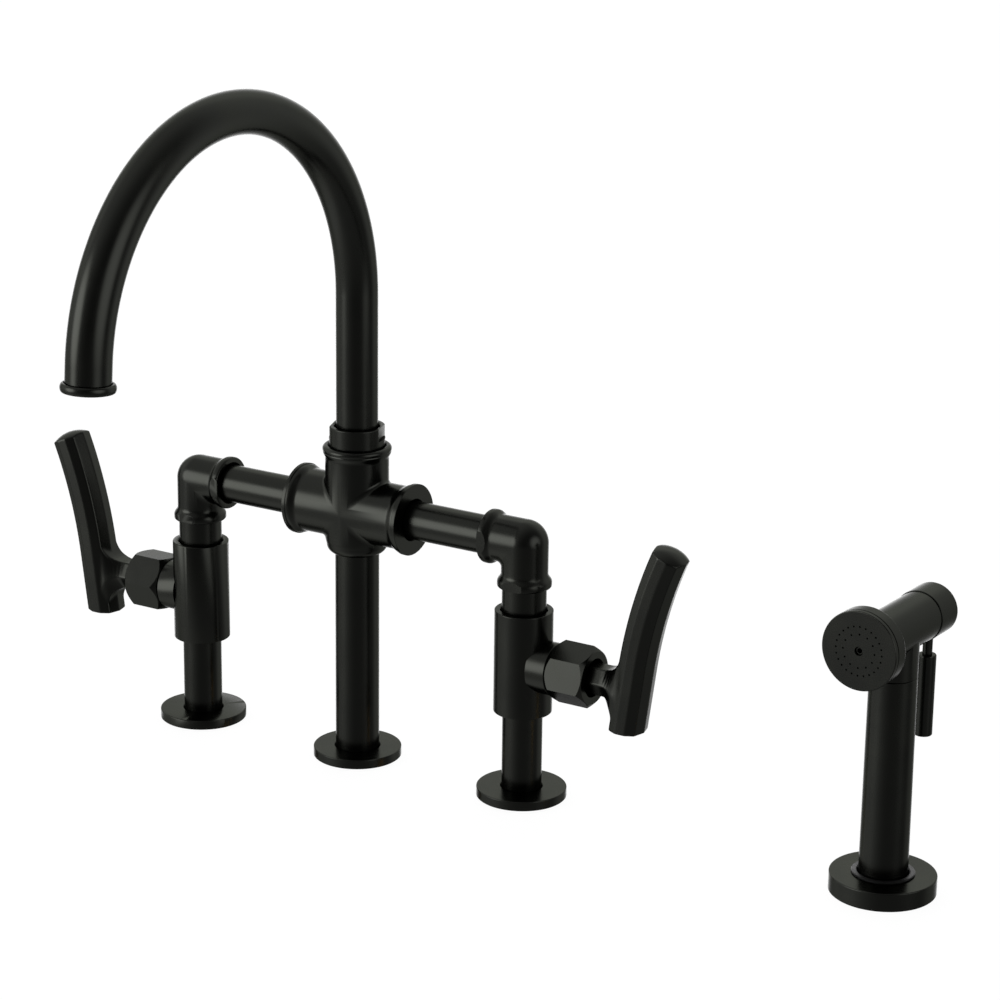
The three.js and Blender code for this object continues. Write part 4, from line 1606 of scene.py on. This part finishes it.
    def trigger(self) -> Piece:
        """The hanging rod of the trigger, with its thin neck and its eye."""
        rod = turned(
            "trigger_lever",
            [
                (0, self.trigger_low),
                *edge_round(self.trigger_radius, self.trigger_low, 0.6, False),
                *edge_round(self.trigger_radius, self.trigger_top, 0.6, True),
                (self.trigger_neck, self.trigger_top),
                (self.trigger_neck, self.pivot),
                (0, self.pivot),
            ],
            48,
        )
        eye = turned("eye", [(0, -3.4), (2.6, -3.4), (2.6, 3.4), (0, 3.4)], 32)
        rotated(eye, "Y", 90)
        shape(rod, moved(eye, z=self.pivot), Shaping.JOIN)
        hole = turned("hole", [(0, -5), (1.4, -5), (1.4, 5), (0, 5)], 24)
        rotated(hole, "Y", 90)
        shape(rod, moved(hole, z=self.pivot), Shaping.CUT)
        return self.placed(smoothed(moved(rod, y=self.trigger_behind), 30))


# ---- Stage ------------------------------------------------------------------------------


@dataclass(frozen=True)
class Glow:
    """A bright patch of the room, which fades out towards its edge.

    Angles are in degrees. The azimuth runs from the front, 0, to the right, 90, and a
    strength of 1 looks white.
    """

    name: str
    azimuth: float
    elevation: float
    inner: float
    outer: float
    strength: float

    def way(self) -> Vector:
        """Direction of its middle."""
        turn, lift = math.radians(self.azimuth), math.radians(self.elevation)
        return Vector(
            (math.sin(turn) * math.cos(lift), -math.cos(turn) * math.cos(lift), math.sin(lift))
        )


@dataclass(frozen=True)
class Studio:
    """Camera, floor and the surroundings, whose glows light the object."""

    lens_mm: float = 111.93
    sensor_mm: float = 36.0
    azimuth: float = 31.647
    elevation: float = 17.205
    roll: float = 0.731
    place_mm: tuple[float, float, float] = (866.734, -1265.864, 615.673)
    floor_m: float = 6.0
    floor_white: float = 0.9
    dimmest: float = 0.095
    glows: tuple[Glow, ...] = (
        Glow("white wall", -113, 7, 41, 140, 0.58),
        Glow("backdrop", -177, 2, 23, 70, 0.76),
        Glow("left wall", -108, 8, 11, 47, 0.94),
        Glow("front left soft box", -41, 9, 15, 25, 2.97),
        Glow("back left soft box", -150, 9, 23, 48, 1.52),
        Glow("right soft box", 84, 11, 6, 33, 1.34),
        Glow("table", 0, -90, 26, 98, 0.18),
        Glow("table on the left", -66, -58, 10, 35, 0.27),
    )

    def camera(self) -> None:
        """Stand the camera where the photograph was taken from."""
        turn, lift, roll = (math.radians(v) for v in (self.azimuth, self.elevation, self.roll))
        back = Vector(
            (math.sin(turn) * math.cos(lift), -math.cos(turn) * math.cos(lift), math.sin(lift))
        )
        right = (-back).cross(Vector((0, 0, 1))).normalized()
        up = right.cross(-back)
        rolled_right = math.cos(roll) * right + math.sin(roll) * up
        rolled_up = -math.sin(roll) * right + math.cos(roll) * up
        data = bpy.data.cameras.new("camera")
        data.lens = self.lens_mm
        data.sensor_width = self.sensor_mm
        data.clip_start = 0.01
        camera = bpy.data.objects.new("camera", data)
        camera.matrix_world = Matrix.Translation(Vector(self.place_mm) * MM) @ Matrix(
            (rolled_right, rolled_up, back)
        ).transposed().to_4x4()
        bpy.context.scene.collection.objects.link(camera)
        bpy.context.scene.camera = camera

    def floor(self) -> None:
        """Lay a plain white floor that the camera sees with a faint shadow."""
        bpy.ops.mesh.primitive_plane_add(size=self.floor_m)
        floor = bpy.context.object
        floor.name = "floor"
        material = bpy.data.materials.new("white_paper_sweep")
        material.use_nodes = True
        tree = material.node_tree
        tree.nodes.clear()
        path = node(tree, "ShaderNodeLightPath", {}, {})
        paper = node(tree, "ShaderNodeBsdfDiffuse", {"Color": (0.8, 0.8, 0.8, 1)}, {})
        glow = node(tree, "ShaderNodeEmission", {"Color": (1, 1, 1, 1), "Strength": 1.06}, {})
        share = node(
            tree,
            "ShaderNodeMath",
            {"operation": "MULTIPLY", 1: self.floor_white},
            {0: path.outputs["Is Camera Ray"]},
        )
        seen = node(
            tree,
            "ShaderNodeMixShader",
            {},
            {0: share.outputs[0], 1: paper.outputs[0], 2: glow.outputs[0]},
        )
        node(tree, "ShaderNodeOutputMaterial", {}, {"Surface": seen.outputs[0]})
        floor.data.materials.append(material)
        floor.visible_glossy = False
        floor.visible_transmission = False

    def world(self) -> None:
        """White for the camera, and a room with its glows for all that the object mirrors."""
        world = bpy.data.worlds.new("studio")
        bpy.context.scene.world = world
        world.use_nodes = True
        tree = world.node_tree
        tree.nodes.clear()
        path = node(tree, "ShaderNodeLightPath", {}, {})
        way = node(tree, "ShaderNodeTexCoord", {}, {}).outputs["Generated"]
        total = path.outputs["Is Camera Ray"]
        for glow in self.glows:
            facing = node(
                tree,
                "ShaderNodeVectorMath",
                {"operation": "DOT_PRODUCT", 1: glow.way()},
                {0: way},
            )
            share = node(
                tree,
                "ShaderNodeMapRange",
                {
                    "interpolation_type": "SMOOTHSTEP",
                    "From Min": math.cos(math.radians(glow.outer)),
                    "From Max": math.cos(math.radians(glow.inner)),
                    "To Min": 0.0,
                    "To Max": glow.strength,
                },
                {"Value": facing.outputs["Value"]},
            )
            total = node(
                tree, "ShaderNodeMath", {"operation": "ADD"}, {0: total, 1: share.outputs[0]}
            ).outputs[0]
        room = node(tree, "ShaderNodeMath", {"operation": "ADD", 1: self.dimmest}, {0: total})
        sky = node(
            tree, "ShaderNodeBackground", {"Color": (1, 1, 1, 1)}, {"Strength": room.outputs[0]}
        )
        node(tree, "ShaderNodeOutputWorld", {}, {"Surface": sky.outputs[0]})


# ---- Putting it together -------------------------------------------------------------------


def build_posts(dresser: Dresser) -> None:
    """Build the flanges, the legs and what holds them."""
    mounting = Mounting()
    leg = LegColumn()
    cross = Cross()
    makers = {
        "flange": lambda: mounting.flange(leg.tube_radius),
        "shank": lambda: mounting.shank(leg.tube_bore - 0.3),
        "washer": lambda: mounting.washer_ring(21.0, 10.5, -22.0, -20.0),
        "gasket": lambda: mounting.washer_ring(19.0, 10.8, 0.0, 1.3),
        "lock_nut": lambda: mounting.lock_nut(mounting.nut_flats, 10.5),
        "leg_tube": leg.leg_tube,
        "valve_body": leg.valve_body,
        "riser": leg.riser,
    }
    for part, make in makers.items():
        right = moved(make(), leg.spacing)
        dresser.dress(mirror_copy(right), f"left_{part}")
        dresser.dress(right, f"right_{part}")
    for part, make in {"elbow": leg.elbow, "bridge_tube": leg.bridge_tube}.items():
        right = make()
        dresser.dress(mirror_copy(right), f"left_{part}")
        dresser.dress(right, f"right_{part}")
    dresser.dress(mounting.flange(cross.post_radius), "centre_flange")
    dresser.dress(mounting.shank(cross.post_bore - 0.3), "centre_shank")
    dresser.dress(mounting.washer_ring(21.0, 10.5, -22.0, -20.0), "centre_washer")
    dresser.dress(mounting.washer_ring(19.0, 12.0, 0.0, 1.3), "centre_gasket")
    dresser.dress(mounting.lock_nut(mounting.nut_flats, 10.5), "centre_lock_nut")


def build_handles(dresser: Dresser) -> None:
    """Build both levers and their bonnet nuts."""
    handle = Handle()
    dresser.dress(handle.bonnet_nut(-10.3), "right_bonnet_nut")
    dresser.dress(mirrored(handle.bonnet_nut(-34.6)), "left_bonnet_nut")
    right = handle.lever()
    dresser.dress(mirror_copy(right), "left_lever")
    dresser.dress(right, "right_lever")


def build_middle(dresser: Dresser) -> None:
    """Build the cross body, its post and the spout."""
    cross = Cross()
    spout = Spout()
    dresser.dress(cross.body(), "cross_body")
    dresser.dress(cross.post(), "centre_post")
    dresser.dress(spout.nut(), "spout_nut")
    dresser.dress(spout.tube(), "spout_tube")
    dresser.dress(spout.lip(), "spout_lip")


def build_sprayer(dresser: Dresser) -> None:
    """Build the sprayer and its holder."""
    sprayer = Sprayer()
    dresser.dress(sprayer.flange(), "spray_flange")
    dresser.dress(sprayer.guide(), "spray_guide")
    dresser.dress(sprayer.handle(), "spray_handle")
    dresser.dress(sprayer.head(), "spray_head")
    dresser.dress(sprayer.rim(), "spray_rim")
    dresser.dress(sprayer.face(), "spray_face")
    dresser.dress(sprayer.screw(), "spray_face_screw", Slot.BLACK)
    dresser.dress(sprayer.rear_cap(), "spray_rear_cap")
    dresser.dress(sprayer.trigger(), "trigger_lever")


def main() -> None:
    """Build every piece in order."""
    logging.basicConfig(level=logging.INFO, format="%(name)s: %(message)s")
    bpy.context.scene.view_settings.view_transform = "Standard"
    studio = Studio()
    studio.camera()
    studio.world()
    studio.floor()
    dresser = Dresser()
    build_posts(dresser)
    build_middle(dresser)
    build_handles(dresser)
    build_sprayer(dresser)
    dresser.dress_rest()


if __name__ == "__main__":
    main()
